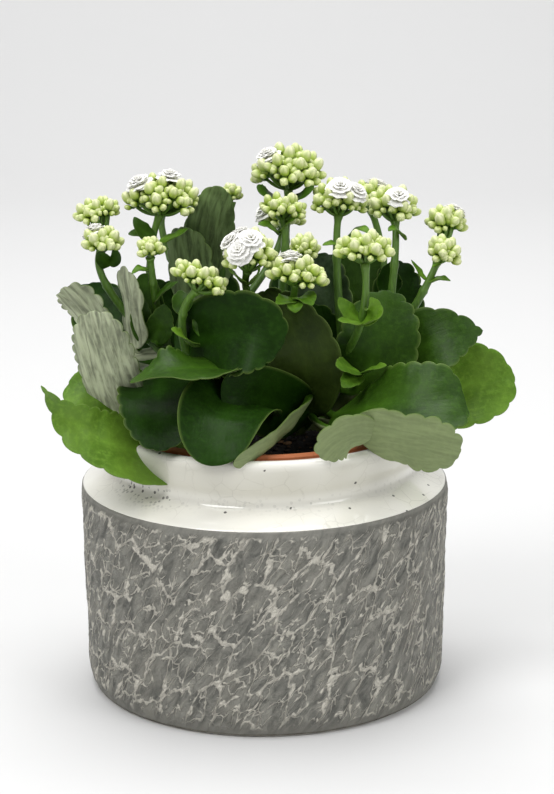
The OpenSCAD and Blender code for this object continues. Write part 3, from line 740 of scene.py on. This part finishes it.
def bud_material():
    """Closed bud: green calyx at its foot, with painted shade darkening the lower part, yellow-green sides,
    cream tip, darker petal seams.
    """
    mat, n, shader = new_material("bud")
    where = n.place()
    along, seam, tint = n.value("along"), n.value("seam"), n.value("tint")
    soft = n.noise(where, 600, 2)
    # Partly the calyx's own green and partly painted shade: very dark at the foot, lightening up the lower
    # part.
    low = n.mix(n.ramp(along, 0.02, 0.45), (0.050, 0.150, 0.004, 1), (0.46, 0.58, 0.060, 1))
    uneven = n.math("ADD", along, n.math("MULTIPLY", n.math("SUBTRACT", soft, 0.5), 0.25))
    colour = n.mix(n.ramp(uneven, 0.40, 0.95), low, (0.93, 0.95, 0.52, 1))
    colour = n.mix(n.math("MULTIPLY", n.math("MULTIPLY", tint, along), 0.6), colour, (0.95, 0.95, 0.74, 1))
    colour = n.mix(n.math("MULTIPLY", n.math("SUBTRACT", 0.9, tint), 0.24), colour, (0.24, 0.42, 0.02, 1))
    colour = n.mix(n.math("MULTIPLY", seam, 0.45), colour, (0.26, 0.40, 0.05, 1))
    n.link(colour, shader.inputs["Base Color"])
    n.link(n.math("ADD", 0.36, n.math("MULTIPLY", soft, 0.2)), shader.inputs["Roughness"])
    n.link(n.bump(soft, 0.0002, 0.4), shader.inputs["Normal"])
    shader.inputs["Subsurface Weight"].default_value = 0.04
    shader.inputs["Subsurface Radius"].default_value = (0.9, 1.0, 0.5)
    shader.inputs["Subsurface Scale"].default_value = 0.0015
    return mat


def petal_material():
    """White double flower: greenish cream at the petals' feet, pure white at their edges."""
    mat, n, shader = new_material("petal")
    where = n.place()
    along = n.value("along")
    vein = n.noise(where, 900, 3, 0.6)
    colour = n.mix(n.ramp(along, 0.0, 0.55), (0.86, 0.89, 0.66, 1), (0.99, 0.985, 0.95, 1))
    colour = n.mix(n.math("MULTIPLY", n.ramp(vein, 0.5, 0.8), 0.2), colour, (0.95, 0.94, 0.86, 1))
    n.link(colour, shader.inputs["Base Color"])
    n.link(n.math("ADD", 0.45, n.math("MULTIPLY", vein, 0.2)), shader.inputs["Roughness"])
    n.link(n.bump(vein, 0.0002, 0.4), shader.inputs["Normal"])
    shader.inputs["Subsurface Weight"].default_value = 0.04
    shader.inputs["Subsurface Radius"].default_value = (1.0, 1.0, 0.9)
    shader.inputs["Subsurface Scale"].default_value = 0.001
    return mat


# ---------------------------------------------------------------- pots


def rounded_profile(corners, steps=5):
    """Points along a chain of (radius, height, corner rounding), each corner cut by a smooth
    quadratic arc that starts and ends its rounding away from the corner."""
    out = []
    p = np.array([c[:2] for c in corners], float)
    for i, (r, z, cut) in enumerate(corners):
        if cut == 0 or i in (0, len(corners) - 1):
            out.append(p[i][None])
            continue
        before, after = p[i - 1] - p[i], p[i + 1] - p[i]
        cut = min(cut, 0.49 * np.linalg.norm(before), 0.49 * np.linalg.norm(after))
        a, b = p[i] + unit(before) * cut, p[i] + unit(after) * cut
        t = np.linspace(0, 1, steps + 1)[:, None]
        out.append((1 - t) ** 2 * a + 2 * t * (1 - t) * p[i] + t * t * b)
    return np.concatenate(out)


def even_profile(profile, step):
    """The same profile with points at most step apart."""
    out = [profile[:1]]
    for a, b in zip(profile[:-1], profile[1:]):
        k = max(1, int(np.ceil(np.linalg.norm(b - a) / step)))
        out.append(a + (b - a) * (np.arange(1, k + 1) / k)[:, None])
    return np.concatenate(out)


def turned(profile, around):
    """A (rows, around, 3) grid: the profile carried round the vertical axis."""
    turn = np.linspace(0, 2 * np.pi, around, endpoint=False)
    r, z = profile[:, :1], profile[:, 1:]
    return np.stack([r * np.cos(turn), r * np.sin(turn), z + 0 * turn], -1)


def make_cover_pot():
    """Thrown pot: foot ring, hidden wall, sloped shoulder, crease, flared collar, open inside.

    The radius wanders by about 0.25 mm on slow waves, as on a hand-finished pot.
    """
    core, low = POT_TOP_R - COAT, POT_LOW_R - COAT
    profile = even_profile(rounded_profile([
        (0.5, 3, 0), (77, 3, 1), (78.5, 0.1, 1), (84, 0.1, 1), (85.4, 1.4, 0.8), (low, 4.4, 2),
        (core, SHOULDER_H - 2.2, 0.5), (core + 0.5, SHOULDER_H - 0.2, 1.2),
        (CREASE_R + 0.4, CREASE_H, 3), (CREASE_R + 0.2, CREASE_H + 5, 5),
        (LIP_R - 0.2, COLLAR_H - 5, 5), (LIP_R - 1.2, COLLAR_H, 3), (LIP_R - 6.2, COLLAR_H, 3),
        (NECK_R + 0.1, COLLAR_H - 9, 5), (NECK_R + 0.1, CREASE_H + 3, 1), (NECK_R + 1.5, CREASE_H - 2.5, 1),
        (80, SHOULDER_H - 7, 3), (83, SHOULDER_H - 12, 3), (81, 17, 5), (71, 9, 3), (0.5, 9, 0)]), 2.0)
    grid = turned(profile, 300)
    x, y, z = grid[..., 0], grid[..., 1], grid[..., 2]
    glazed = smooth_step(100, 106, z) * (np.hypot(x, y) > 73)
    wander = 0.25 * (noise(grid * (0.03, 0.03, 0.05), 3) - 0.5) * glazed
    out = unit(np.stack([x, y, 0 * z], -1))
    grid = grid + out * wander[..., None]
    r = np.hypot(x, y)
    # crease: the band in the crease that the glaze darkens as painted shade; the pinholes gather in it too.
    crease = np.exp(-((z - CREASE_H - 1) / 3.0) ** 2) * (r > CREASE_R - 1)
    turn = np.degrees(np.arctan2(y, x))
    pits = crease * smooth_step(-160, -146, turn) * (1 - smooth_step(-132, -118, turn))
    pits = np.maximum(pits, 0.35 * crease * noise(grid * 0.05, 9) ** 2)
    flat, quads, tris = closed_grid(grid)
    tail = np.zeros(2)
    # collar: the band of painted shade that greys the glaze on the collar.
    collar = smooth_step(CREASE_H + 1, CREASE_H + 7, z) * (1 - smooth_step(COLLAR_H - 5, COLLAR_H - 1, z))
    collar = 0.45 * collar + 0.35 * collar * noise(grid * (0.08, 0.08, 0.03), 8)
    values = {"crease": crease, "pits": pits, "collar": collar}
    values = {k: np.append(v.ravel(), tail) for k, v in values.items()}
    pot = mesh_piece("cover_pot_glazed", flat, quads, tris, glaze_material(), values)
    return settle(pot, "glaze", "cover_pot")


def make_stone_coat():
    """Hand-trowelled coat: a shell turned from a profile, its outside moved in and out by noise
    in leaning lumps, calm under the shoulder and along the foot."""
    core, low = POT_TOP_R - COAT, POT_LOW_R - COAT
    outer = even_profile(rounded_profile([
        (84.6, 0.9, 0), (85.8, 1.0, 0.8), (POT_LOW_R, 6.5, 3.5), (POT_TOP_R, SHOULDER_H - 4, 1),
        (POT_TOP_R - 0.2, SHOULDER_H - 0.9, 1), (POT_TOP_R - 0.7, SHOULDER_H - 0.3, 0)], 6), 0.72)
    inner = np.array([(core - 0.1, SHOULDER_H - 1.5), (low - 0.1, 4.6), (85.0, 1.5)])
    around = 560
    shell = turned(outer, around)
    x, y, z = shell[..., 0], shell[..., 1], shell[..., 2]
    calm = smooth_step(SHOULDER_H - 1.5, SHOULDER_H - 5, z) * smooth_step(2, 10, z)
    c, s = 0.85, 0.53  # cosine and sine of the lumps' own lean, 32 degrees
    trowelled = np.stack([x * c - z * s, y, (x * s + z * c) * 0.5], -1)
    ridge = 1 - np.abs(2 * noise(trowelled * 0.28, 12) - 1)
    lump = noise(trowelled * 0.12, 11) - 0.5 + 0.7 * ridge - 0.35
    relief = calm * lump + 0.25 * (noise(shell * 0.35, 13) - 0.5) - 0.25
    out = unit(shell * (1, 1, 0))
    shell = shell + out * relief[..., None]
    grid = np.concatenate([shell, turned(inner, around)])
    rows = len(grid)
    first = np.arange(around)
    after = np.roll(first, -1)
    last = (rows - 1) * around
    wrap = np.stack([first + last, after + last, after, first], -1)
    quads = np.concatenate([grid_quads(rows, around), wrap])
    pad = np.zeros(3 * around)
    values = {"plain": 1 - calm, "rough": calm * smooth_step(0.45, 0.7, noise(shell * 0.05, 15)),
              "foot": 1 - smooth_step(1.2, 2.6, z + 0.5 * noise(shell * 0.3, 14))}
    values = {k: np.append(v.ravel(), pad) for k, v in values.items()}
    coat = mesh_piece("stone_coat_textured", grid.reshape(-1, 3), quads, None, stone_material(), values)
    return settle(coat, "stone_texture", "stone_coat")


def soil_height(r):
    """Height of the mix at a radius: a low dome."""
    return SOIL_H + SOIL_DOME * (1 - (r / RIM_R) ** 2)


def make_soil():
    """Crumbly top of the mix: rings of points heaved by noise, on the plain body of the mix."""
    rows, around = 60, 220
    r = np.linspace(0.8, RIM_R - 4.6, rows)
    rim = np.array([(RIM_R - 5.4, 112), (RIM_R - 8.5, 100), (47.8, 14), (0.8, 13.6)])
    top = turned(np.stack([r, soil_height(r)], -1), around)
    heave = 2.2 * (noise(top * 0.22, 21) - 0.5)
    heave = heave + 1.4 * (noise(top * 0.6, 22) - 0.5) + 0.8 * (noise(top * 1.3, 23) - 0.5)
    top[..., 2] += heave - 0.6
    grid = np.concatenate([top, turned(rim, around)])
    flat, quads, tris = closed_grid(grid)
    tone = np.append((0.35 * noise(grid * 0.5, 24)).ravel(), [0, 0])
    peat = soil_material("peat", (0.006, 0.005, 0.004, 1), (0.05, 0.032, 0.02, 1))
    mix = mesh_piece("growing_mix", flat, quads[:, ::-1], tris[:, ::-1], peat, {"tone": tone})
    return settle(mix, "growing_mix", "root_ball")


def ball(rows, cols):
    """Points on a unit ball as a grid from the south to the north pole, with its faces."""
    polar = np.linspace(0.12, np.pi - 0.12, rows)[:, None]
    turn = np.linspace(0, 2 * np.pi, cols, endpoint=False)
    r, z = np.sin(polar), -np.cos(polar)
    grid = np.stack([r * np.cos(turn), r * np.sin(turn), z + 0 * turn], -1)
    return closed_grid(grid)


def make_crumbs():
    """Bark and peat crumbs on the mix: balls squashed, turned and dented by noise."""
    flat, quads, tris = ball(4, 7)
    heap = Heap()
    count = 420
    for i in range(count):
        r = 63 * math.sqrt((i + 0.5) / count)
        a = i * GOLDEN
        pick = lattice_value(i, 3, 5, 31)
        size = 0.5 + 1.1 * pick ** 3
        squash = np.array([1 + lattice_value(i, 1, 1, 32), 1.0, 0.6]) * size
        c, s = math.cos(i * 1.7), math.sin(i * 1.7)
        shape = flat * squash * (0.8 + 0.5 * noise(flat * 1.3 + i * 7.1, 33)[:, None])
        x, y, z = shape.T
        shape = np.stack([x * c - y * s, x * s + y * c, z], -1)
        at = np.array([r * math.cos(a), r * math.sin(a), soil_height(r) + 0.3])
        heap.add(shape + at, quads, tris, tone=0.15 + 0.9 * lattice_value(i, 9, 2, 34) ** 4)
    crumbs = heap.piece("mix_crumbs", soil_material("crumb", (0.012, 0.009, 0.006, 1), (0.30, 0.17, 0.08, 1)))
    return settle(crumbs, "crumb", "soil_crumbs")


# ---------------------------------------------------------------- stems and leaves


def tube(a, m, b, ra, rb, rows, cols, swell=()):
    """A bent round tube through a, m and b; swell lists (place, width, extra) bulges."""
    t = np.linspace(0, 1, rows)
    centre, along = mid_curve(a, m, b, t), mid_curve_dir(a, m, b, t)
    e = unit(np.cross(along, (0.0, 1.0, 0.0)))
    f = np.cross(along, e)
    r = ra + (rb - ra) * t
    for place, width, extra in swell:
        r = r + extra * np.exp(-((t - place) / width) ** 2)
    turn = np.linspace(0, 2 * np.pi, cols, endpoint=False)[None, :, None]
    ring = e[:, None, :] * np.cos(turn) + f[:, None, :] * np.sin(turn)
    return centre[:, None, :] + ring * r[:, None, None]


def add_tube(heap, grid, low=0.0, high=1.0):
    """Adds a tube grid to a heap with its value along going from low to high."""
    flat, quads, tris = closed_grid(grid)
    along = np.repeat(np.linspace(low, high, grid.shape[0]), grid.shape[1])
    heap.add(flat, quads, tris, along=np.append(along, [low, high]))


def make_crown():
    """Crown stems with swollen joints."""
    heap = Heap()
    for foot, middle, tip in STEMS:
        joints = [(p, 0.035, 0.9) for p in (0.3, 0.45, 0.6, 0.75, 0.9)]
        add_tube(heap, tube(foot, middle, tip, STEM_R, STEM_R * 0.62, 48, 16, joints))
    bark = stem_material("crown", (0.06, 0.07, 0.015, 1), (0.035, 0.085, 0.010, 1))
    crown = heap.piece("crown_stems_jointed", bark)
    return settle(crown, "stem", "crown_stems")


def leaf_grid(row):
    """Upper and lower skins of one leaf as a closed grid, with side, margin and rib values.

    The midrib follows a stalk curve and then the blade curve. Across it each ring is a lens:
    half width w(b) = W/2 (1 - |2 b^p - 1|^k)^(1/k), with k the taper towards the tip and the heel
    towards the base, bent up on both sides on a circle of the cup angle, waved near the margin,
    grooved over the midrib, and rolled about it towards the tip. Round the margin, points move
    outwards by depth (|sin(pi s / tooth)|^0.5 - 0.75), with s the distance along the margin
    counted from the tip, so that rounded teeth run all the way round the end.
    """
    _, stem, at, base, middle, tip, width, facing, cup, peak, _, more = row
    base, middle, tip = (np.asarray(q, float) for q in (base, middle, tip))
    tb = np.sin(np.linspace(0, np.pi / 2, 116))
    centre, along = mid_curve(base, middle, tip, tb), mid_curve_dir(base, middle, tip, tb)
    stalked = stem is not None
    if stalked:
        root = mid_curve(*STEMS[stem], [at])[0]
        reach = np.linalg.norm(base - root) / 2
        lead = base - along[0] * reach
        ts = np.linspace(0, 1, 12)[:-1]
        stalk_mid = root / 4 + lead / 2 + base / 4
        centre = np.concatenate([mid_curve(root, stalk_mid, base, ts), centre])
        along = np.concatenate([mid_curve_dir(root, stalk_mid, base, ts), along])
        tb = np.concatenate([0 * ts, tb])
    stalk_r = PETIOLE_R if stalked else 0.8
    b = tb[:, None]
    up = unit(np.asarray(facing, float))
    up = unit(up - (along @ up)[:, None] * along)
    side = np.cross(along, up)
    roll = np.radians(more.get("roll", 0)) * smooth_step(more.get("roll_from", 0.5), 1.0, b)
    side, up = side * np.cos(roll) + up * np.sin(roll), up * np.cos(roll) - side * np.sin(roll)
    y = 2 * b ** peak - 1
    power = np.where(y > 0, more.get("taper", 2.2), more.get("heel", 2.2))
    oval = np.maximum(1 - np.abs(y) ** power, 0) ** (1 / power)
    half = np.maximum(stalk_r * (1 - b) + 0.2, width / 2 * oval)
    step = np.linalg.norm(np.diff(centre, axis=0, prepend=centre[:1]), axis=1)[:, None]
    grow = np.diff(half, axis=0, prepend=half[:1])
    edge = np.hypot(step, grow) + 1e-6
    from_tip = edge.sum() - np.cumsum(edge)[:, None]
    half_n = 15
    ring = np.cos(np.linspace(np.pi, 0, half_n))
    v = np.concatenate([ring, ring[-2:0:-1]])[None, :]
    is_top = np.concatenate([np.ones(half_n), np.zeros(half_n - 2)])[None, :]
    tooth = more.get("tooth", 8.5)
    places = from_tip / tooth * (1 + 0.13 * np.sign(v) * smooth_step(0, 3 * tooth, from_tip)) + 0.5
    teeth = np.abs(np.sin(np.pi * places)) ** 0.5 - 0.75
    bulge = more.get("scallop", 1.7) * smooth_step(0.22, 0.5, b) * teeth
    bulge = bulge * np.abs(v) ** 3 * np.minimum(1, half / 3)
    x = v * half + np.sign(v) * bulge * step / edge
    ahead = -bulge * grow / edge
    bend = math.radians(cup) / (width / 2)
    bend = np.maximum(bend * smooth_step(0.0, 0.15, b), 1e-5)
    across = np.sin(bend * np.abs(x)) / bend * np.sign(x)
    lift = (1 - np.cos(bend * np.abs(x))) / bend
    out = np.abs(x) / (width / 2)
    phase = 2 * np.pi * (1.8 * b + 0.37 * (stem or 0)) + 2.2 * (v > 0)
    lift = lift + more.get("wave", 0.6) * out ** 2 * np.sin(phase)
    run = np.cumsum(step)[:, None]
    spot = np.stack([run / 9 + 0 * x, x / 7, 0 * x + width + at], -1)
    uneven = 1.3 * (noise(spot, 41) - 0.5) + 0.5 * (noise(spot * 2.3, 42) - 0.5)
    lift = lift + uneven * smooth_step(0, 0.2, b)
    folds = np.cos(x * 0.85 + 0.8 * np.sin(run / 12)) * smooth_step(0.15, 0.5, b)
    lift = lift + more.get("pleats", 0.0) * folds
    body = np.where(b > 0, LEAF_T * (1.25 - 0.95 * b) * (1 if stalked else 0.6), stalk_r * 0.85)
    along_rib = smooth_step(0.0, 0.12, b) * smooth_step(1.02, 0.75, b)
    groove = 0.4 * np.exp(-(x / 1.2) ** 2) * along_rib * (width > 15)
    skin = body * np.sqrt(np.maximum(1 - v ** 2, 0)) ** 0.8
    thick = np.where(is_top > 0, skin - groove, -skin - 0.6 * groove)
    grid = centre[:, None] + side[:, None] * across[..., None] + up[:, None] * (lift + thick)[..., None]
    grid = grid + along[:, None] * ahead[..., None]
    margin = smooth_step(0.955, 1.0, np.abs(v)) * smooth_step(0.02, 0.2, b)
    rib = np.exp(-(x / 1.3) ** 2) * smooth_step(0.95, 0.2, b) + (1 - smooth_step(0.0, 0.1, b))
    values = {"side": is_top + 0 * b, "margin": margin + 0 * x, "rib": rib}
    uv = np.stack([run + 0 * x, x + 200.0 * is_top], -1) * 0.001
    return grid, values, uv


def leaf_piece(name, row, mat):
    """One leaf or bract as a closed mesh with its values and uv."""
    grid, values, uv = leaf_grid(row)
    flat, quads, tris = closed_grid(grid)
    ends = {k: [v[0].mean(), v[-1].mean()] for k, v in values.items()}
    values = {k: np.append(v.ravel(), ends[k]) for k, v in values.items()}
    uv = np.concatenate([uv.reshape(-1, 2), uv[0].mean(0)[None], uv[-1].mean(0)[None]])
    return mesh_piece(name, flat, quads, tris, mat, values, uv)


def make_leaves():
    """Every leaf as its own piece, and the bracts on the flower stems."""
    top, low_top = (0.036, 0.092, 0.0060), (0.018, 0.052, 0.0035)
    looks = {
        "dark": leaf_material("leaf_dark", (0.014, 0.046, 0.0030), (0.007, 0.024, 0.0018),
                              (0.085, 0.130, 0.042), 0.30, sheen=0.10),
        "mid": leaf_material("leaf_mid", top, low_top, (0.100, 0.150, 0.048), 0.29),
        "olive": leaf_material("leaf_olive", (0.042, 0.072, 0.0090), (0.021, 0.042, 0.0045),
                               (0.100, 0.135, 0.052), 0.38),
        "bright": leaf_material("leaf_bright", (0.145, 0.270, 0.030), (0.080, 0.170, 0.014),
                                (0.280, 0.330, 0.180), 0.30, glow=0.1),
        "pale": leaf_material("leaf_pale", top, low_top, (0.225, 0.282, 0.128), 0.3, streaked=0.08),
        "silver": leaf_material("leaf_silver", top, low_top, (0.410, 0.450, 0.300), 0.3, streaked=0.3),
        # Partly the underside's own paler green and partly a painted sheen: brightened and strongly streaked.
        "under": leaf_material("leaf_under", top, low_top, (0.165, 0.240, 0.095), 0.3, streaked=0.3),
        # Painted sheen: the top colour is greyed towards blue, a reflection painted into the leaf's green.
        "sheen": leaf_material("leaf_sheen", (0.055, 0.090, 0.040), (0.012, 0.034, 0.006),
                               (0.090, 0.130, 0.050), 0.26),
        "bract": leaf_material("bract", (0.130, 0.260, 0.020), (0.060, 0.150, 0.010),
                               (0.130, 0.240, 0.040), 0.34),
    }
    for row in LEAVES:
        settle(leaf_piece(row[0] + "_blade", row, looks[row[10]]), "leaf", row[0])
    for i, (stem, base, middle, tip, width, facing, look) in enumerate(BRACTS):
        row = ("bract", None, 0.1 * i, base, middle, tip, width, facing, 25, 0.8, look,
               dict(scallop=0.6 if width > 9 else 0.01, tooth=4.5, wave=0.4, taper=1.6))
        settle(leaf_piece("bract_%02d" % i, row, looks[look]), "leaf", "flower_stem_" + stem)


# ---------------------------------------------------------------- flowers


def frame_of(axis, spin):
    """A turning matrix whose third column is the axis, spun about it by an angle."""
    axis = unit(np.asarray(axis, float))
    side = unit(np.cross(axis, (0.31, 0.93, 0.19)))
    other = np.cross(axis, side)
    c, s = math.cos(spin), math.sin(spin)
    return np.stack([side * c + other * s, other * c - side * s, axis], 1)


def bud_shape():
    """A closed bud of radius 1, foot at the origin: an egg of four petals with shallow seams,
    turned from a list of heights and widths, with a short stalk below and a rounded tip."""
    heights = np.array([-1.4, -0.35, 0.0, 0.5, 1.2, 1.9, 2.4, 2.62])
    widths = np.array([0.22, 0.27, 0.62, 0.94, 1.0, 0.88, 0.56, 0.14])
    turn = np.linspace(0, 2 * np.pi, 8, endpoint=False)[None, :]
    seam = 0.5 + 0.5 * np.cos(4 * turn) + 0 * heights[:, None]
    r = widths[:, None] * (1 - 0.09 * seam ** 3)
    grid = np.stack([r * np.cos(turn), r * np.sin(turn), heights[:, None] + 0 * turn], -1)
    flat, quads, tris = closed_grid(grid)
    along = np.append(np.repeat(np.clip(heights / 2.6, 0, 1), 8), [0, 1])
    return flat, quads, tris, along, np.append((seam ** 4 * (heights[:, None] > 0)).ravel(), [0, 0])


def petal_shape():
    """A petal of length 1, thin and closed: broad, ruffled by a sine, its tip arching over."""
    rows, cols = 6, 6
    t = np.linspace(0.02, 1, rows)[:, None]
    v = np.linspace(-1, 1, cols)[None, :]
    w = 0.46 * np.sin(np.pi * np.clip(t ** 0.8 * 0.80 + 0.05, 0, 1)) ** 0.6
    x = v * w
    z = 0.42 * t - 0.20 * t ** 3 - 0.06 * v ** 2 + 0.03 * np.sin(6 * v + 7 * t) * t
    y = t - 0.15 * t ** 3 + 0 * x
    top = np.stack([x, y, z + 0.015], -1)
    low = np.stack([x, y, z - 0.015], -1)[:, ::-1]
    grid = np.concatenate([top, low], 1)
    flat, quads, tris = closed_grid(grid)
    return flat, quads, tris, np.append(np.repeat(t.ravel(), 2 * cols), [0, 1])


def head_clusters(head):
    """Middle, outward direction and spin of each bud cluster: a spiral over a leaning half egg."""
    middle, half, count, r, lean, _ = head
    half, i = np.asarray(half, float), np.arange(count)
    up = 1 - 0.98 * (i + 0.5) / count
    flat = np.sqrt(1 - up ** 2)
    d = np.stack([flat * np.cos(i * GOLDEN), flat * np.sin(i * GOLDEN), up], -1)
    a = math.radians(lean)
    turn = np.array([[math.cos(a), 0, math.sin(a)], [0, 1, 0], [-math.sin(a), 0, math.cos(a)]])
    at = np.asarray(middle, float) + (d * half * (1 - 1.9 * r / half.max())) @ turn.T
    return at, unit(d / half) @ turn.T


def make_flower_stem(row, mats):
    """One flower stem: its stalk and branches, its buds, and its open flowers."""
    name, stem, at, middle, hub, heads = row
    stalks, buds, petals = Heap(), Heap(), Heap()
    root = mid_curve(*STEMS[stem], [at])[0]
    joints = [(0.55, 0.03, 0.5), (1.0, 0.06, 0.8)]
    add_tube(stalks, tube(root, middle, hub, STALK_R, STALK_R * 0.72, 30, 12, joints), 0, 0.8)
    bud, petal = bud_shape(), petal_shape()
    for head in heads:
        _, _, count, r, _, open_ones = head
        hub_at = np.asarray(hub, float)
        spots, outs = head_clusters(head)
        for i in range(count):
            foot = spots[i] - outs[i] * r * 1.5
            bow = (hub_at * 0.45 + foot * 0.55) + (0, 0, -0.12 * np.linalg.norm(foot - hub_at))
            add_tube(stalks, tube(hub_at, bow, foot, 1.0, 0.8, 7, 7), 0.5, 1.0)
            if i in open_ones:
                size = 7.2 + lattice_value(i, count, 1, 51)
                add_flower(petals, foot + outs[i] * 1.6, outs[i] + (0, 0, 0.3), petal, size)
                continue
            add_cluster(buds, stalks, foot, outs[i], r, i, bud)
    made = [stalks.piece(name + "_stalks", mats["stalk"]), buds.piece(name + "_buds", mats["bud"])]
    if petals.count:
        made.append(petals.piece(name + "_open_flowers", mats["petal"]))
        faces = made[-1].data.polygons
        faces.foreach_set("use_smooth", np.zeros(len(faces), bool))
    for piece in made:
        settle(piece, "flower", name)


def add_cluster(buds, stalks, foot, out, r, i, bud):
    """One large bud on top and five or six round it on short stalks, in different sizes, on an
    axis halfway between outwards and up."""
    turn = frame_of(out + (0, 0, 0.9), i * 2.4)
    flat, quads, tris, along, seam = bud
    ring = 6 if i % 2 else 5
    for j in range(ring + 1):
        chance = lattice_value(i, j, round(float(foot[0])), 52)
        if j == 0:
            axis, size, at = np.array([0, 0, 1.0]), r * (1.0 + 0.2 * chance), np.array([0, 0, r * 0.9])
        else:
            a = 2 * math.pi * (j + 0.4 * chance) / ring
            axis = unit(np.array([math.cos(a), math.sin(a), 1.1]))
            size = r * (0.55 + 0.5 * chance)
            at = np.array([math.cos(a), math.sin(a), 0.2]) * r * 1.1
        spin = frame_of(turn @ axis, j * 1.3)
        stalk = foot + turn @ at
        tint = chance * (0.9 if j == 0 else 0.4)
        shape = (flat * size * (1, 1, 0.92)) @ spin.T + stalk
        buds.add(shape, quads, tris, along=along, seam=seam, tint=tint)
        low, half_way = foot - out * r * 0.6, (foot + stalk) / 2 - out * 0.2
        add_tube(stalks, tube(low, half_way, stalk, 0.55, 0.6, 4, 6), 0.7, 1.0)


def add_flower(petals, foot, out, petal, size):
    """A double flower: five whorls of petals, the inner ones shorter and more upright."""
    turn = frame_of(out, float(foot[1]))
    flat, quads, tris, along = petal
    whorls = [(9, -12, 1.0), (9, 4, 0.84), (8, 18, 0.66), (6, 34, 0.48), (4, 55, 0.34)]
    for ring, (number, tilt, length) in enumerate(whorls):
        for j in range(number):
            a = 2 * math.pi * (j + 0.5 * ring) / number + 0.3 * lattice_value(j, ring, 2, 53)
            t = math.radians(tilt + 14 * (lattice_value(j, ring, 4, 54) - 0.5))
            lift = np.array([[1, 0, 0], [0, math.cos(t), -math.sin(t)], [0, math.sin(t), math.cos(t)]])
            spin = np.array([[math.cos(a), -math.sin(a), 0], [math.sin(a), math.cos(a), 0], [0, 0, 1]])
            shape = (flat * size * length) @ lift.T @ spin.T + (0, 0, 2.6 + 0.75 * ring)
            petals.add(shape @ turn.T + foot, quads, tris, along=along)


def make_flowers():
    """All the flower stems with their shared finishes."""
    mats = {"stalk": stem_material("flower_stalk", (0.045, 0.115, 0.010, 1), (0.120, 0.235, 0.028, 1)),
            "bud": bud_material(), "petal": petal_material()}
    for row in FLOWERS:
        make_flower_stem(row, mats)


# ---------------------------------------------------------------- studio


def make_studio():
    """Pale floor that curves up behind, soft lights and the camera."""
    mat, n, shader = new_material("studio_floor")
    colour = n.mix(n.noise(n.place(), 3), (0.765, 0.765, 0.765, 1), (0.775, 0.775, 0.775, 1))
    n.link(colour, shader.inputs["Base Color"])
    shader.inputs["Roughness"].default_value = 0.9
    t = np.linspace(0, np.pi / 2, 24)
    curve = np.stack([1400 + 900 * np.sin(t), 900 * (1 - np.cos(t))], -1)
    back = np.concatenate([[(-2500, 0)], curve, [(2300, 3200)]])
    x = np.array([[-3500.0, 3500.0]])
    grid = np.stack([x + 0 * back[:, :1], back[:, :1] + 0 * x, back[:, 1:] + 0 * x], -1)
    quads = grid_quads(len(back), 2, False)[:, ::-1]
    floor = mesh_piece("studio_sweep", grid.reshape(-1, 3), quads, None, mat)
    world = bpy.data.worlds.new("studio")
    world.use_nodes = True
    sky = world.node_tree.nodes["Background"]
    sky.inputs[0].default_value = (1.0, 1.0, 1.0, 1)
    sky.inputs[1].default_value = 0.28
    bpy.context.scene.world = world
    lamps = (("key", (-0.8, -1.0, 1.6), 0.8, 15), ("fill", (1.4, -1.1, 1.2), 0.9, 9),
             ("top", (0.0, 0.2, 1.9), 1.3, 24), ("backdrop", (0.0, 1.3, 1.9), 1.6, 11))
    for name, place, size, power in lamps:
        lamp = bpy.data.lights.new(name, "AREA")
        lamp.energy, lamp.size = power, size
        light = bpy.data.objects.new(name, lamp)
        light.location = place
        aim = np.array([0, 1.9, 0.1] if name == "backdrop" else [0, 0, 0.14]) - np.array(place)
        tilt = math.atan2(math.hypot(aim[0], aim[1]), -aim[2])
        light.rotation_euler = (tilt, 0, math.atan2(-aim[0], aim[1]))
        bpy.context.scene.collection.objects.link(light)
    lens = bpy.data.cameras.new("camera")
    lens.lens, lens.sensor_width = 105.6, 36
    lens.clip_start, lens.clip_end = 0.05, 20
    camera = bpy.data.objects.new("camera", lens)
    camera.location = (0, -1.1, 0.4314)
    camera.rotation_euler = (math.radians(75.29), 0.0071, -0.0078)
    bpy.context.scene.collection.objects.link(camera)
    bpy.context.scene.camera = camera
    bpy.context.scene.view_settings.view_transform = "Standard"


make_studio()
make_cover_pot()
make_stone_coat()
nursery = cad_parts["nursery_pot"]
nursery.data.materials.clear()
nursery.data.materials.append(nursery_material())
make_soil()
make_crumbs()
make_crown()
make_leaves()
make_flowers()

bpy.context.view_layer.update()
